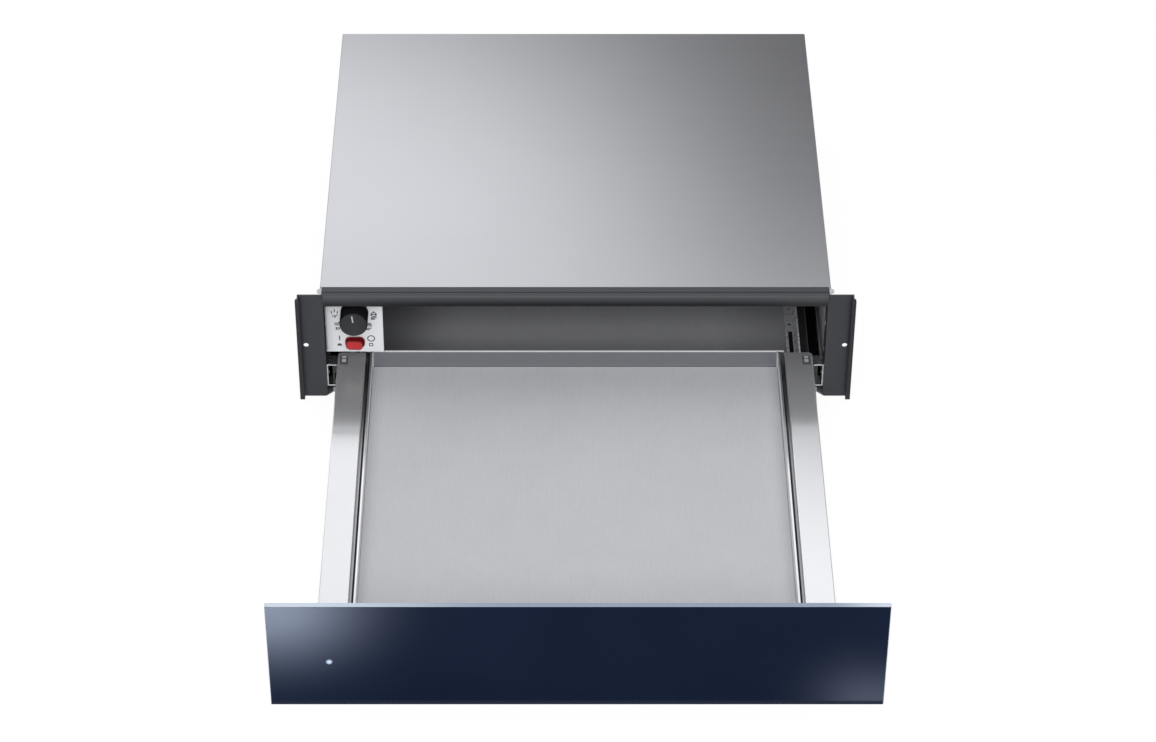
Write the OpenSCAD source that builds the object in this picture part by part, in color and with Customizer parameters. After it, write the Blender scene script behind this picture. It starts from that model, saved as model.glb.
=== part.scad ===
// Built-in warming drawer for a 60 cm cabinet, drawn with the drawer pulled right out.
// X is the width, with the controls at -X. Y runs from the front, at -Y, to the back.
// Z is up. The origin is on the niche floor, at mid width, in the cabinet's front plane.
// Left is -X and right is +X, as seen by someone standing in front.

/* [Glass front] */
// Width of the glass front
front_w = 596; // [590:0.5:600]
// Height of the glass front
front_h = 130.2; // [128:0.2:134]
// Thickness of the glass
glass_t = 5; // [4:0.5:6]
// Gap under the glass front
front_lift = 2.5; // [1:0.5:4]
// Thickness of the bonding tape behind the glass
tape_t = 0.8; // [0.5:0.1:1.2]
// Radius of the light window in the glass
window_r = 3; // [2:0.1:4]

/* [Casing] */
// Width over the top cover
case_w = 542.5; // [538:0.5:548]
// Height of the casing
case_h = 138.6; // [137:0.2:146]
// Depth of the top cover
case_d = 488.3; // [470:0.1:500]
// Distance of the cover's front edge behind the cabinet's front plane
cover_setback = 11.8; // [11:0.1:13]
// Sheet of the top cover
cover_t = 0.8; // [0.6:0.1:1]
// Height of the cover's turned-down edges
cover_lip = 12.6; // [10:0.2:14]
// Sheet of the base, sides and back
wall_t = 1; // [0.8:0.1:1.2]
// Height of the base pan's front lip
pan_lip = 6; // [4:0.5:6.5]

/* [Fixing flanges] */
// Sheet of the flanges
flange_t = 1.4; // [1.2:0.1:1.6]
// How far each flange stands out beyond the top cover
flange_reach = 25.9; // [25:0.1:27]
// Height of the screw holes above the niche floor
screw_z = 70.3; // [60:0.1:80]
// Distance between the two screw holes
screw_span = 576.4; // [575:0.2:578]
// Radius of the screw holes
screw_hole_r = 2.8; // [2.2:0.1:3]
// How far the edge seals reach in front of the cabinet
seal_reach = 9.3; // [8:0.1:11]
// Width of the edge seals
seal_w = 5; // [4.4:0.1:5.4]

/* [Front trim] */
// Height of the trim over the opening
trim_h = 13.8; // [12:0.2:14]
// How far the trim's rubber profile reaches in front of the cabinet
trim_reach = 4.2; // [3:0.1:5]
// Sheet of the trim
trim_t = 1; // [0.8:0.1:1.2]

/* [Controls] */
// Width of the control fascia
fascia_w = 60.2; // [58:0.2:64]
// Sheet of the fascia
fascia_t = 1.5; // [1:0.1:2]
// Height of the fascia's lower edge
fascia_z = 49.5; // [48:0.1:50.5]
// Depth of the housing behind the fascia
control_d = 62; // [55:1:75]
// Diameter of the selector knob
knob_d = 29.8; // [26:0.2:31]
// Length of the selector knob
knob_l = 22.2; // [20:0.2:24]
// Distance of the knob's axis below the trim
knob_drop = 21.6; // [21:0.1:22.2]
// Radius of the selector shaft
shaft_r = 3; // [2.5:0.1:3.2]
// Height of the rocker's middle
rocker_z = 62.4; // [61:0.1:63.4]
// Width of the rocker
rocker_w = 18.2; // [17:0.1:19.4]
// Height of the rocker
rocker_h = 12; // [10.5:0.1:12.5]
// Corner radius of the rocker, seen from the front
rocker_r = 4.6; // [3:0.1:5.2]
// How far the rocker stands out of the fascia
rocker_out = 6.6; // [5:0.1:9]
// Angle that the rocker lies over to each side
rocker_tilt = 4; // [3:0.5:5]

/* [Drawer] */
// Width of each side box
box_w = 30.5; // [29.5:0.1:32]
// Height of the side boxes and the tray rim
box_top = 45; // [44.6:0.1:46.4]
// Height of the lower edges of the side boxes
box_z0 = 9; // [8:0.1:9.5]
// Sheet of the side boxes
box_t = 0.8; // [0.7:0.1:1]
// Gap between a side box and the casing wall
box_gap = 13.25; // [12.5:0.05:14]
// Gap between the tray rim and a side box
tray_gap = 4.3; // [3.8:0.1:5]
// Width of the tray's turned-out rim
rim_w = 2.2; // [1.8:0.1:2.6]
// Sheet of the tray
tray_t = 0.8; // [0.6:0.1:1]
// Height of the top of the tray floor
tray_z = 23.3; // [22.6:0.1:24.5]
// Thickness of the mat
mat_t = 1; // [0.8:0.1:2]
// Height of the underside of the drawer base
base_z = 12; // [11.5:0.1:12.5]

/* [Runners] */
// Thickness of a runner across its three members
slide_w = 11.6; // [11.6:0.1:12.2]
// Height of a runner
slide_h = 31; // [30.6:0.1:31.6]
// Diameter of the runner balls
ball_d = 3; // [2.8:0.1:3.1]
// Balls at each end of a ball cage
ball_count = 5; // [3:1:6]
// Space between neighbouring balls in a group
ball_pitch = 9; // [8:0.5:10]
// Sheet of the runner brackets
bracket_t = 1.5; // [1.2:0.1:1.8]
// Width of a bracket's foot
foot_w = 10.3; // [9.8:0.1:12]

/* [Fan heater] */
// Gap between the fan wheel and the ring heater
fan_gap = 2.2; // [1.5:0.1:4]
// Gap between the ring heater and the cover around it
ring_gap = 1.2; // [1:0.1:2]
// Depth of the fan wheel's blades
fan_d = 14; // [12:0.5:16]
// Number of blades
blade_count = 24; // [18:1:30]
// Radius of the ring heater's tube
tube_r = 3.2; // [2.8:0.1:3.4]
// Distance of the fan cover's face in front of the back panel
fan_cover_d = 46; // [42:0.5:50]
// Width of the fan cover
fan_cover_w = 300; // [260:2:340]
// Depth of the motor cover behind the casing
motor_cover_d = 40; // [38:0.5:46]

/* [Hidden] */
$fn = 48;

// Gap between sheets that are screwed or welded together side by side
fit = 0.1;
// Gap between pieces that move past each other
run = 0.35;
// Radial gap of a shaft in its bore
shaft_gap = 0.05;

// Casing
wall_out = case_w / 2 - cover_t - fit;
wall_in = wall_out - wall_t;
cover_y1 = cover_setback + case_d;
back_y1 = cover_y1 - cover_t;
back_y0 = back_y1 - wall_t;
ceil_z = case_h - cover_t;
pan_y0 = -flange_t;
pan_set = 7.4;
cover_screw_x = [-220, -75, 75, 220];
cover_screw_z = case_h - cover_lip + 5;

// Flanges
flange_in = wall_in - flange_t;
flange_out = case_w / 2 + flange_reach;
flange_z0 = 0.4;
flange_z1 = ceil_z - fit;
flange_web = 22;
flange_rivet_y = flange_web - 6;
flange_rivet_low = box_top + 7;
flange_rivet_high = flange_z1 - 15.7;
flange_rivet_z = [flange_rivet_low, (flange_rivet_low + flange_rivet_high) / 2, flange_rivet_high];
flange_return_x = flange_out - 3.5;
seal_z1 = flange_z1 - 4.6;
flange_chamfer = 2;
rivet_r = 1.6;

// Trim
trim_x = flange_in - 2.5 * fit;
trim_z0 = case_h - trim_h;
trim_y = 3.4;
seal_drop = 1.6;
liner_z = trim_z0 + trim_t;

// Closed place of the drawer front, and the travel
glass_back = -seal_reach - 0.7;
carrier_y = glass_back + tape_t;
carrier_d = 11.2;
panel_y = carrier_y + carrier_d;
front_z1 = front_lift + front_h;
carrier_hw = case_w / 2 - 9.25;
carrier_z0 = 8;
carrier_z1 = case_h - 21;
runner_y0 = 8;
runner_l = back_y0 - 20.3 - runner_y0;
travel = runner_l - 6;

// Controls
fascia_x0 = -(flange_in - 1.55);
fascia_x1 = fascia_x0 + fascia_w;
fascia_z1 = trim_z0 - fit;
knob_z = trim_z0 - knob_drop;
fascia_y = glass_back + 1 + knob_l + 0.8;
knob_x = fascia_x0 + 30.4;
rocker_x = knob_x - 0.8;
rocker_pivot = 3;
pin_r = 1.5;
bush_r = shaft_r + 2;
rocker_gap = 0.7;
rocker_ring = 0.8;
pin_l = rocker_h / 2 + 2.6;
window_x = rocker_x - 2.2;
window_z = rocker_z - 2.3;
notch_x = fascia_x1 + 4;
notch_z = fascia_z - 2.5;
selector_hw = 15;
tab_w = 3;
tab_l = 8;
tab_t = 0.8;
pointer_angle = -7;
pointer_w = 1.4;
pointer_t = 0.6;
pointer_z0 = 3.6;
pointer_l = 8.6;
shelf_t = 0.8;

// Drawer, in its closed place
box_out = wall_in - box_gap;
box_in = box_out - box_w;
box_y0 = panel_y + box_t;
box_y1 = runner_y0 + runner_l + 4;
rim_x = box_in - tray_gap;
rim_y0 = box_y0 + 6;
rim_y1 = box_y1 + 3.7;
base_y0 = box_y0;
base_y1 = box_y1 - 18;
base_t = 1;

// Runners
slide_x = box_out - box_t - slide_w;
slide_z = box_top - box_t - 1.7 - slide_h / 2;
rail_t = 1.2;
cage_t = 0.6;
track_r = ball_d / 2 + 0.1;
track_depth = 0.4;
track_step = track_r - track_depth;
fixed_flange = rail_t + 0.6;
ball_z1 = slide_h / 2 - fixed_flange - track_step;
mid_flange = rail_t + 2 * track_depth;
ball_z2 = ball_z1 - 2 * track_step - mid_flange;
cage_x1 = rail_t + run;
mid_x = cage_x1 + cage_t + run;
cage_x2 = mid_x + rail_t + run;
inner_x = cage_x2 + cage_t + run;
track_x = inner_x + 1.8;
reach_x = track_x + 1.8;
cage_l = 0.4 * runner_l;
cage_end = 12;
foot_z = wall_t + bracket_t;
bracket_x = slide_x - bracket_t;
foot_x = slide_x - foot_w;
foot_mid = (foot_x + bracket_x) / 2;
runner_mid_y = runner_y0 + runner_l / 2;
bracket_rivet_y = [runner_y0 + 18, runner_mid_y, runner_y0 + runner_l - 18];
rail_rivet_y = [runner_y0 + 30, runner_mid_y, runner_y0 + runner_l - 30];
inner_screw_y = [runner_y0 + 24, runner_mid_y, runner_y0 + runner_l - 24];
hole_x = foot_mid + 0.9;
hole_y = 122.5;
slot_y = 89;
guide_y = 11;
guide_rivet_z = 24;
guide_l = 16;
guide_z0 = 11;
guide_z1 = box_top - 5;
guide_t = 1.2;
clip_x = box_out - 7.3;
clip_w = 8.4;
clip_y0 = box_y1 - 20.9;
clip_y1 = box_y1 - 6.1;
box_screw_x = (box_in + box_out) / 2;
front_screw_r = 1.9;
front_screw_z = [box_z0 + 9, box_top - 9];

// Fan heater
fan_cover_y = back_y0 - fan_cover_d;
fan_cover_z = box_top + 5.6;
fan_room = liner_z - fan_cover_z - 2 * shelf_t;
fan_z = fan_cover_z + shelf_t + fan_room / 2;
ring_r = fan_room / 2 - ring_gap - tube_r;
fan_r = ring_r - tube_r - fan_gap;
fan_shaft_r = 2.5;
wheel_y = fan_cover_y + 9;
ring_y = wheel_y + fan_d / 2;
motor_y = back_y1 + 3;
stack_y = motor_y + 5;
stack_t = 14;
rotor_r = 11.5;
coil_hw = 9.3;
coil_hh = 7.2;
coil_drop = 25.5;
motor_cover_x = 62;
motor_cover_z0 = fan_z - 58.2;
motor_cover_z1 = fan_z + 21.8;
leg_step = 10;
leg_x = -sqrt(ring_r * ring_r - leg_step * leg_step);
heater_leg_z = [fan_z - leg_step, fan_z + leg_step];
thermal_r = 8;
thermal_x = leg_x - tube_r - thermal_r - 2;
motor_bolt_x = 22;
motor_bolt_z = fan_z + 12;
motor_bolt_r = 1.8;
terminal_x = 28;
terminal_z = motor_cover_z0 + 32;
gland_r = 4;
gland_out_r = 8;
gland_y = back_y1 + 22;
gland_z = motor_cover_z0 + 22;

// Latch
latch_y = base_y1 + 6;
latch_z = 11;
latch_r = 3.4;

// ---------- helpers ----------

// A block between two corners
module block(x0, x1, y0, y1, z0, z1) {
    translate([x0, y0, z0]) cube([x1 - x0, y1 - y0, z1 - z0]);
}

// An X-Z outline carried along Y, from y0 to y1
module along_y(y0, y1) {
    translate([0, y1, 0]) rotate([90, 0, 0]) linear_extrude(height = y1 - y0) children();
}

// A Y-Z outline carried along X, from x0 to x1
module along_x(x0, x1) {
    translate([x0, 0, 0]) rotate([90, 0, 90]) linear_extrude(height = x1 - x0) children();
}

// A round bar along Y, X or Z
module rod_y(x, z, r, y0, y1) {
    translate([x, y1, z]) rotate([90, 0, 0]) cylinder(r = r, h = y1 - y0);
}
module rod_x(y, z, r, x0, x1) {
    translate([x0, y, z]) rotate([0, 90, 0]) cylinder(r = r, h = x1 - x0);
}
module rod_z(x, y, r, z0, z1) {
    translate([x, y, z0]) cylinder(r = r, h = z1 - z0);
}

// A rectangle with round corners, as an outline
module round_rect(x0, x1, y0, y1, r) {
    translate([x0 + r, y0]) square([x1 - x0 - 2 * r, y1 - y0]);
    translate([x0, y0 + r]) square([x1 - x0, y1 - y0 - 2 * r]);
    for (x = [x0 + r, x1 - r]) for (y = [y0 + r, y1 - r]) translate([x, y]) circle(r = r);
}

// A slot with round ends along Y, as an outline centred on a point
module slot_2d(x, y, length, r) {
    translate([x - r, y - length / 2 + r]) square([2 * r, length - 2 * r]);
    for (side = [-1, 1]) translate([x, y + side * (length / 2 - r)]) circle(r = r);
}

// A right-hand piece, mirrored when it is wanted on the left
module handed(side) {
    if (side == "left") mirror([1, 0, 0]) children();
    else children();
}

// Both hands of a piece
module both_sides() {
    children();
    mirror([1, 0, 0]) children();
}

// A piece drawn in its closed place, pulled out by a share of the travel
module pulled(share = 1) {
    translate([0, -share * travel, 0]) children();
}

// ---------- casing ----------

// Pan with turned-up sides and a low lip, set back between two slanting corners
module base_pan() {
    edge_h = 11;
    edge_y0 = flange_web + 2;
    lip_x = wall_in - pan_set;
    lip_y = pan_y0 + pan_set;
    color("silver") difference() {
        union() {
            linear_extrude(height = wall_t) polygon([
                [-wall_in, pan_y0], [-lip_x, lip_y], [lip_x, lip_y], [wall_in, pan_y0],
                [wall_in, back_y0], [-wall_in, back_y0]
            ]);
            block(-lip_x, lip_x, lip_y, lip_y + wall_t, 0, pan_lip);
            both_sides() block(wall_in - wall_t, wall_in, edge_y0, back_y0, 0, edge_h);
        }
        both_sides() for (y = bracket_rivet_y) rod_z(foot_mid, y, rivet_r, -1, wall_t + 1);
    }
}

// Side panel with an ear that shows beside the trim, rivet holes and vents
module side_panel() {
    ear_r = 4;
    ear_y = 6;
    vent_start = 40;
    vent_step = 9;
    vent_drop = 34;
    color("silver") difference() {
        union() {
            block(wall_in, wall_out, 0, back_y1, 0, ceil_z);
            translate([wall_out, ear_y, ceil_z - wall_t]) cylinder(r = ear_r, h = wall_t);
        }
        block(wall_in - 2 * ear_r, wall_in, 0, 2 * ear_y, ceil_z - 2 * wall_t, case_h);
        for (z = flange_rivet_z) rod_x(flange_rivet_y, z, rivet_r, wall_in - 1, wall_out + 1);
        for (i = [0:6]) along_x(wall_in - 1, wall_out + 1)
            slot_2d(back_y0 - vent_start - i * vent_step, ceil_z - vent_drop, 30, 1.6);
    }
}

// Cover with turned-down edges at both sides and at the back
module top_cover() {
    hw = case_w / 2;
    bend = 1.2;
    color("gainsboro") difference() {
        along_y(cover_setback, cover_y1) difference() {
            round_rect(-hw, hw, case_h - 2 * cover_lip, case_h, bend);
            translate([-hw + cover_t, case_h - 2 * cover_lip - 1])
                square([2 * (hw - cover_t), 2 * cover_lip + 1 - cover_t]);
        }
        block(-hw - 1, hw + 1, 0, cover_y1 + 1, case_h - 2 * cover_lip - 1, case_h - cover_lip);
    }
    color("gainsboro") difference() {
        block(-hw + cover_t, hw - cover_t, cover_y1 - cover_t, cover_y1, case_h - cover_lip, ceil_z);
        for (x = cover_screw_x) rod_y(x, cover_screw_z, rivet_r + fit, back_y1 - 1, cover_y1 + 1);
    }
}

// Cross-head screws through the cover and the back panel
module cover_screws() {
    head_r = 3.2;
    head_h = 2;
    cross_l = 3.6;
    cross_w = 0.8;
    color("dimgray") for (x = cover_screw_x) {
        rod_y(x, cover_screw_z, rivet_r, back_y0 - 3, cover_y1);
        difference() {
            rod_y(x, cover_screw_z, head_r, cover_y1, cover_y1 + head_h);
            along_y(cover_y1 + head_h / 2, cover_y1 + head_h + 1) translate([x, cover_screw_z]) {
                square([cross_l, cross_w], center = true);
                square([cross_w, cross_l], center = true);
            }
        }
    }
}

// Back panel with holes for the motor shaft and the heater, and vents on both sides
module back_panel() {
    vent_x = 150;
    vent_step = 9;
    color("silver") difference() {
        block(-wall_in + fit, wall_in - fit, back_y0, back_y1, wall_t, ceil_z - fit);
        rod_y(0, fan_z, 9, back_y0 - 1, back_y1 + 1);
        for (x = cover_screw_x) rod_y(x, cover_screw_z, rivet_r + fit, back_y0 - 1, back_y1 + 1);
        for (z = heater_leg_z) rod_y(leg_x, z, tube_r + fit, back_y0 - 1, back_y1 + 1);
        both_sides() for (i = [0:9]) along_y(back_y0 - 1, back_y1 + 1)
            slot_2d(vent_x + i * vent_step, fan_z - 4, 40, 2);
    }
}

// Folded trim: a tongue under the cover, a step up, the front web and a ledge over the opening
module front_trim() {
    tongue = 14;
    step_y = cover_setback - 2 * fit;
    color("#3b3c41") along_x(-trim_x, trim_x) {
        // tongue under the cover
        translate([step_y - trim_t, ceil_z - trim_t]) square([trim_t + tongue, trim_t]);
        // step up to the top face
        translate([step_y - trim_t, ceil_z - trim_t]) square([trim_t, cover_t + trim_t]);
        translate([trim_y, case_h - trim_t]) square([step_y - trim_y, trim_t]);
        // front web and the ledge over the opening
        translate([trim_y, trim_z0]) square([trim_t, trim_h]);
        translate([trim_y, trim_z0]) square([fascia_y - trim_y, trim_t]);
    }
}

// Rubber profile that the closed glass front comes to
module trim_seal() {
    depth = trim_y + trim_reach;
    top_r = 3.2;
    low_r = 3.6;
    wall = 1.5;
    low_z = trim_z0 - seal_drop;
    top_z = case_h - 0.3;
    rest = 0.9;
    color("#2c2d31") along_x(-trim_x, trim_x) difference() {
        union() {
            translate([-trim_reach, low_z + low_r]) square([depth, top_z - top_r - low_z - low_r]);
            translate([-trim_reach + top_r, top_z - top_r]) square([depth - top_r - rest, top_r]);
            translate([-trim_reach + top_r, top_z - top_r]) circle(r = top_r);
            translate([-trim_reach + low_r, low_z]) square([depth - low_r, low_r]);
            translate([-trim_reach + low_r, low_z + low_r]) circle(r = low_r);
        }
        round_rect(-trim_reach + wall, trim_y - wall, low_z + wall + 0.8, top_z - wall, 1.4);
    }
}

// Fixing flange with its screw hole, a forward edge for the seal and a web riveted to the side panel
module flange() {
    h = flange_z1 - flange_z0;
    corner_r = 2.5;
    color("#3b3c41") difference() {
        union() {
            block(flange_in, flange_return_x + flange_t, -flange_t, 0, flange_z0, flange_z1);
            block(flange_return_x, flange_return_x + flange_t, -seal_reach + 1.5, 0,
                  flange_z0 + 1, flange_z1 - 1);
            block(flange_in, wall_in, -flange_t, flange_web, wall_t + fit, flange_z1);
        }
        rod_y(screw_span / 2, screw_z, screw_hole_r, -flange_t - 1, 1);
        translate([flange_in, 0, flange_z0]) rotate([0, 45, 0])
            cube([flange_chamfer * sqrt(2), 4 * flange_t, flange_chamfer * sqrt(2)], center = true);
        for (z = flange_rivet_z)
            rod_x(flange_rivet_y, z, rivet_r, flange_in - 1, wall_in + 1);
        rod_x(guide_y, guide_rivet_z, rivet_r, flange_in - 1, wall_in + 1);
    }
}

// Edge seal: a rubber channel pushed over the flange's forward edge
module flange_seal() {
    back = -flange_t - 0.2;
    lip_r = 1.6;
    cut = 2.2;
    x0 = flange_out - seal_w;
    color("#55565b") difference() {
        translate([0, 0, flange_z0]) linear_extrude(height = seal_z1 - flange_z0)
            round_rect(x0, flange_out, -seal_reach, back, lip_r);
        block(flange_return_x - fit, flange_return_x + flange_t + fit, -seal_reach + 1.4, 1,
              0, flange_z1 + 1);
        for (z = [flange_z0, seal_z1]) translate([flange_out, -seal_reach, z]) rotate([45, 0, 0])
            cube([2 * seal_w + 2, cut, cut], center = true);
    }
}

// Rivets of the flanges and of the guide brackets
module flange_rivets() {
    head_r = 2.8;
    head_h = 0.4;
    color("silver") both_sides() {
        for (z = flange_rivet_z) {
            rod_x(flange_rivet_y, z, rivet_r, flange_in, wall_out);
            translate([flange_in, flange_rivet_y, z]) dome(head_r, head_h);
        }
        rod_x(guide_y, guide_rivet_z, rivet_r, flange_in - bracket_t, wall_in);
        translate([flange_in - bracket_t, guide_y, guide_rivet_z]) dome(head_r, 2 * head_h);
    }
}

// A rivet head that stands out towards -X
module dome(r, h) {
    ball = (r * r + h * h) / (2 * h);
    rotate([0, -90, 0]) intersection() {
        translate([0, 0, h - ball]) sphere(r = ball);
        cylinder(r = r, h = h);
    }
}

// Sheet over the drawer compartment, turned down at both sides
module ceiling_liner() {
    edge = 9;
    color("#6c6d72") {
        block(-flange_in + fit, flange_in - fit, fascia_y + 2, back_y0, liner_z - shelf_t, liner_z);
        both_sides() block(wall_in - shelf_t, wall_in, flange_web + 2, back_y0, liner_z - edge, liner_z);
        both_sides() block(flange_in - 1, wall_in, flange_web + 2, back_y0, liner_z - shelf_t, liner_z);
    }
}

// Mat between the liner and the cover
module insulation_mat() {
    color("#d8d2c2") along_y(flange_web + 8, back_y0 - 6)
        round_rect(-flange_in + 6, flange_in - 6, liner_z, ceil_z - trim_t - 0.3, 2);
}

// ---------- controls ----------

// Fascia with openings for the knob and the rocker, and folded edges
module control_fascia() {
    skirt = 6;
    strip = 0.5;
    color("#dfe0e5") difference() {
        union() {
            block(fascia_x0, fascia_x1, fascia_y, fascia_y + fascia_t, fascia_z, fascia_z1);
            block(fascia_x0 - 2 * strip, fascia_x1, fascia_y, fascia_y + skirt, fascia_z, fascia_z + 1);
            block(fascia_x0 - 2 * strip, fascia_x0 - strip, fascia_y, fascia_y + skirt, fascia_z, fascia_z1);
            block(fascia_x1 - 1, fascia_x1, fascia_y, fascia_y + skirt, fascia_z, fascia_z1);
        }
        rod_y(knob_x, knob_z, bush_r + fit, fascia_y - 1, fascia_y + fascia_t + 1);
        along_y(fascia_y - 1, fascia_y + fascia_t + 1) rocker_outline(rocker_gap + rocker_ring + fit);
    }
}

// Outline of the rocker, grown by a margin
module rocker_outline(grow) {
    hw = rocker_w / 2 + grow;
    hh = rocker_h / 2 + grow;
    translate([rocker_x, rocker_z]) round_rect(-hw, hw, -hh, hh, rocker_r + grow);
}

// Open-topped box behind the fascia, with a gap at the back for the wires
module control_housing() {
    y0 = fascia_y + fascia_t;
    y1 = y0 + control_d;
    x0 = fascia_x0 + 0.5;
    x1 = fascia_x1 - 1.2;
    z0 = fascia_z + 1.2;
    wire_w = 20;
    wire_h = 14;
    color("#47484d") difference() {
        block(x0, x1, y0, y1, z0, fascia_z1);
        block(x0 + shelf_t, x1 - shelf_t, y0 - 1, y1 - shelf_t, z0 + shelf_t, fascia_z1 + 1);
        block(fascia_x0 + wire_w, fascia_x1 - wire_w, y1 - 2, y1 + 1, fascia_z1 - wire_h, fascia_z1 + 1);
    }
}

// Switch body with a bush for the selector shaft and four tabs
module selector_switch() {
    y0 = fascia_y + fascia_t;
    y1 = y0 + 22;
    tab_z = knob_z - 9;
    color("#e8e4d8") difference() {
        union() {
            along_y(y0, y1) round_rect(knob_x - selector_hw, knob_x + selector_hw,
                                       knob_z - selector_hw, knob_z + selector_hw, 3);
            rod_y(knob_x, knob_z, bush_r, fascia_y - 2.5, y0 + 1);
            for (x = [-12:7:9]) block(knob_x + x, knob_x + x + tab_w, y1, y1 + tab_l, tab_z, tab_z + tab_t);
        }
        rod_y(knob_x, knob_z, shaft_r + shaft_gap, fascia_y - 4, y0 + 14);
    }
}

// Bezel and body of the rocker switch, with two tabs
module rocker_frame() {
    y0 = fascia_y + fascia_t;
    collar = 2;
    body_y1 = y0 + 24;
    body_hw = 12;
    body_hh = 10;
    pin_z = pin_l + 0.3;
    color("#8d1512") difference() {
        union() {
            along_y(fascia_y - 1.2, y0) rocker_outline(rocker_gap + rocker_ring);
            along_y(y0, y0 + collar) rocker_outline(rocker_gap + rocker_ring + 1.7);
            block(rocker_x - body_hw, rocker_x + body_hw, y0 + collar, body_y1,
                  rocker_z - body_hh, rocker_z + body_hh);
            for (x = [-7, 4]) block(rocker_x + x, rocker_x + x + tab_w, body_y1, body_y1 + tab_l,
                                    rocker_z - tab_t / 2, rocker_z + tab_t / 2);
        }
        along_y(fascia_y - 3, y0 + 9) rocker_outline(rocker_gap);
        rod_z(rocker_x, fascia_y + rocker_pivot, pin_r + shaft_gap, rocker_z - pin_z, rocker_z + pin_z);
    }
}

// ---------- runners ----------

// Foot and web that carry a runner on the base
module runner_bracket() {
    y1 = runner_y0 + runner_l;
    web_top = slide_z + slide_h / 2;
    color("#b9babe") difference() {
        union() {
            block(foot_x, slide_x, runner_y0, y1, wall_t, foot_z);
            block(bracket_x, slide_x, runner_y0, y1, wall_t, web_top);
        }
        translate([0, 0, wall_t - 1]) linear_extrude(height = bracket_t + 2) {
            translate([hole_x, hole_y]) circle(r = 2.6);
            for (y = [slot_y, back_y0 - 90]) slot_2d(hole_x, y, 44, 2.4);
        }
        for (y = bracket_rivet_y) rod_z(foot_mid, y, rivet_r, 0, foot_z + 1);
        for (y = rail_rivet_y) rod_x(y, slide_z, rivet_r, bracket_x - 1, slide_x + 1);
    }
}

// Upper half of each runner section, in X-Z from the middle of the fixed web's outer face
module fixed_half() {
    difference() {
        union() {
            square([rail_t, slide_h / 2]);
            translate([0, slide_h / 2 - fixed_flange]) square([reach_x - 0.6, fixed_flange]);
            translate([reach_x - 0.6, slide_h / 2 - fixed_flange / 2]) circle(r = fixed_flange / 2);
        }
        translate([track_x, ball_z1]) circle(r = track_r);
        translate([(rail_t + track_x - track_r) / 2 + 0.4, slide_h / 2 + 0.6])
            square([2.2, 2.4], center = true);
    }
}
module mid_half() {
    top = ball_z1 - track_step;
    difference() {
        union() {
            translate([mid_x, 0]) square([rail_t, top]);
            translate([mid_x, top - mid_flange]) square([reach_x - mid_x - 0.6, mid_flange]);
            translate([reach_x - 0.6, top - mid_flange / 2]) circle(r = mid_flange / 2);
        }
        translate([track_x, ball_z1]) circle(r = track_r);
        translate([track_x, ball_z2]) circle(r = track_r);
    }
}
module inner_half() {
    top = ball_z2 - track_step;
    difference() {
        union() {
            translate([slide_w - rail_t, 0]) square([rail_t, top]);
            translate([inner_x, top - fixed_flange]) square([slide_w - inner_x, fixed_flange]);
        }
        translate([track_x, ball_z2]) circle(r = track_r);
    }
}
module cage_half(x, z) {
    translate([x, 0]) square([cage_t, z + cage_t / 2]);
    translate([x, z - cage_t / 2]) square([reach_x - x - 0.4, cage_t]);
}

// A runner section carried along Y at the runner's place
module runner_section(y0, y1) {
    translate([slide_x, 0, slide_z]) along_y(y0, y1) {
        children();
        mirror([0, 1]) children();
    }
}

// Fixed member of a runner
module runner_fixed() {
    color("#9a9ba0") difference() {
        runner_section(runner_y0, runner_y0 + runner_l) fixed_half();
        for (y = rail_rivet_y) rod_x(y, slide_z, rivet_r, slide_x - 1, slide_x + rail_t + 0.2);
        for (i = [0:3]) translate([slide_x, runner_y0 + 60 + i * 25, slide_z])
            rotate([0, 90, 0]) linear_extrude(height = 3 * rail_t, center = true) slot_2d(0, 0, 12, 2.6);
    }
}

// Middle member of a runner, which moves half as far as the drawer
module runner_mid() {
    color("#a9aaae") pulled(1 / 2) difference() {
        runner_section(runner_y0, runner_y0 + runner_l) mid_half();
        for (i = [0:5]) translate([slide_x + mid_x, runner_y0 + 45 + i * (runner_l - 90) / 5, slide_z])
            rotate([0, 90, 0]) linear_extrude(height = 3 * rail_t, center = true) slot_2d(0, 0, 22, 4);
    }
}

// Inner member of a runner, screwed to its side box
module runner_inner() {
    color("#b4b5b9") pulled() difference() {
        runner_section(runner_y0, runner_y0 + runner_l) inner_half();
        for (y = inner_screw_y) rod_x(y, slide_z, rivet_r, slide_x + slide_w - 2 * rail_t, box_out + 1);
    }
}

// Where the balls sit along a cage that starts at y0
function ball_y(y0) = [for (end = [0, 1]) for (i = [0:ball_count - 1])
    y0 + 6 + i * ball_pitch + end * (cage_l - 12 - (ball_count - 1) * ball_pitch)];

// A sheet cage with its two rows of balls
module ball_cage(x, z, y0) {
    color("#c9a94e") difference() {
        runner_section(y0, y0 + cage_l) cage_half(x, z);
        for (y = ball_y(y0)) translate([slide_x + track_x, y, slide_z])
            cylinder(r = ball_d / 2 + shaft_gap, h = slide_h, center = true);
        translate([slide_x + x - 1, y0 + cage_l / 2 - cage_l / 4, slide_z - z / 2])
            cube([2 + cage_t, cage_l / 2, z]);
    }
    color("#e6e6ea") for (y = ball_y(y0)) for (side = [-1, 1])
        translate([slide_x + track_x, y, slide_z + side * z]) sphere(r = ball_d / 2, $fn = 32);
}

// Balls between the fixed and the middle members, which move a quarter as far as the drawer
module ball_cages_outer() {
    start = runner_y0 + travel / 4 + cage_end;
    both_sides() pulled(1 / 4) ball_cage(cage_x1, ball_z1, start);
}

// Balls between the middle and the inner members, which move three quarters as far
module ball_cages_inner() {
    start = runner_y0 + runner_l - travel / 4 - cage_l - cage_end;
    both_sides() pulled(3 / 4) ball_cage(cage_x2, ball_z2, start);
}

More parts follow.
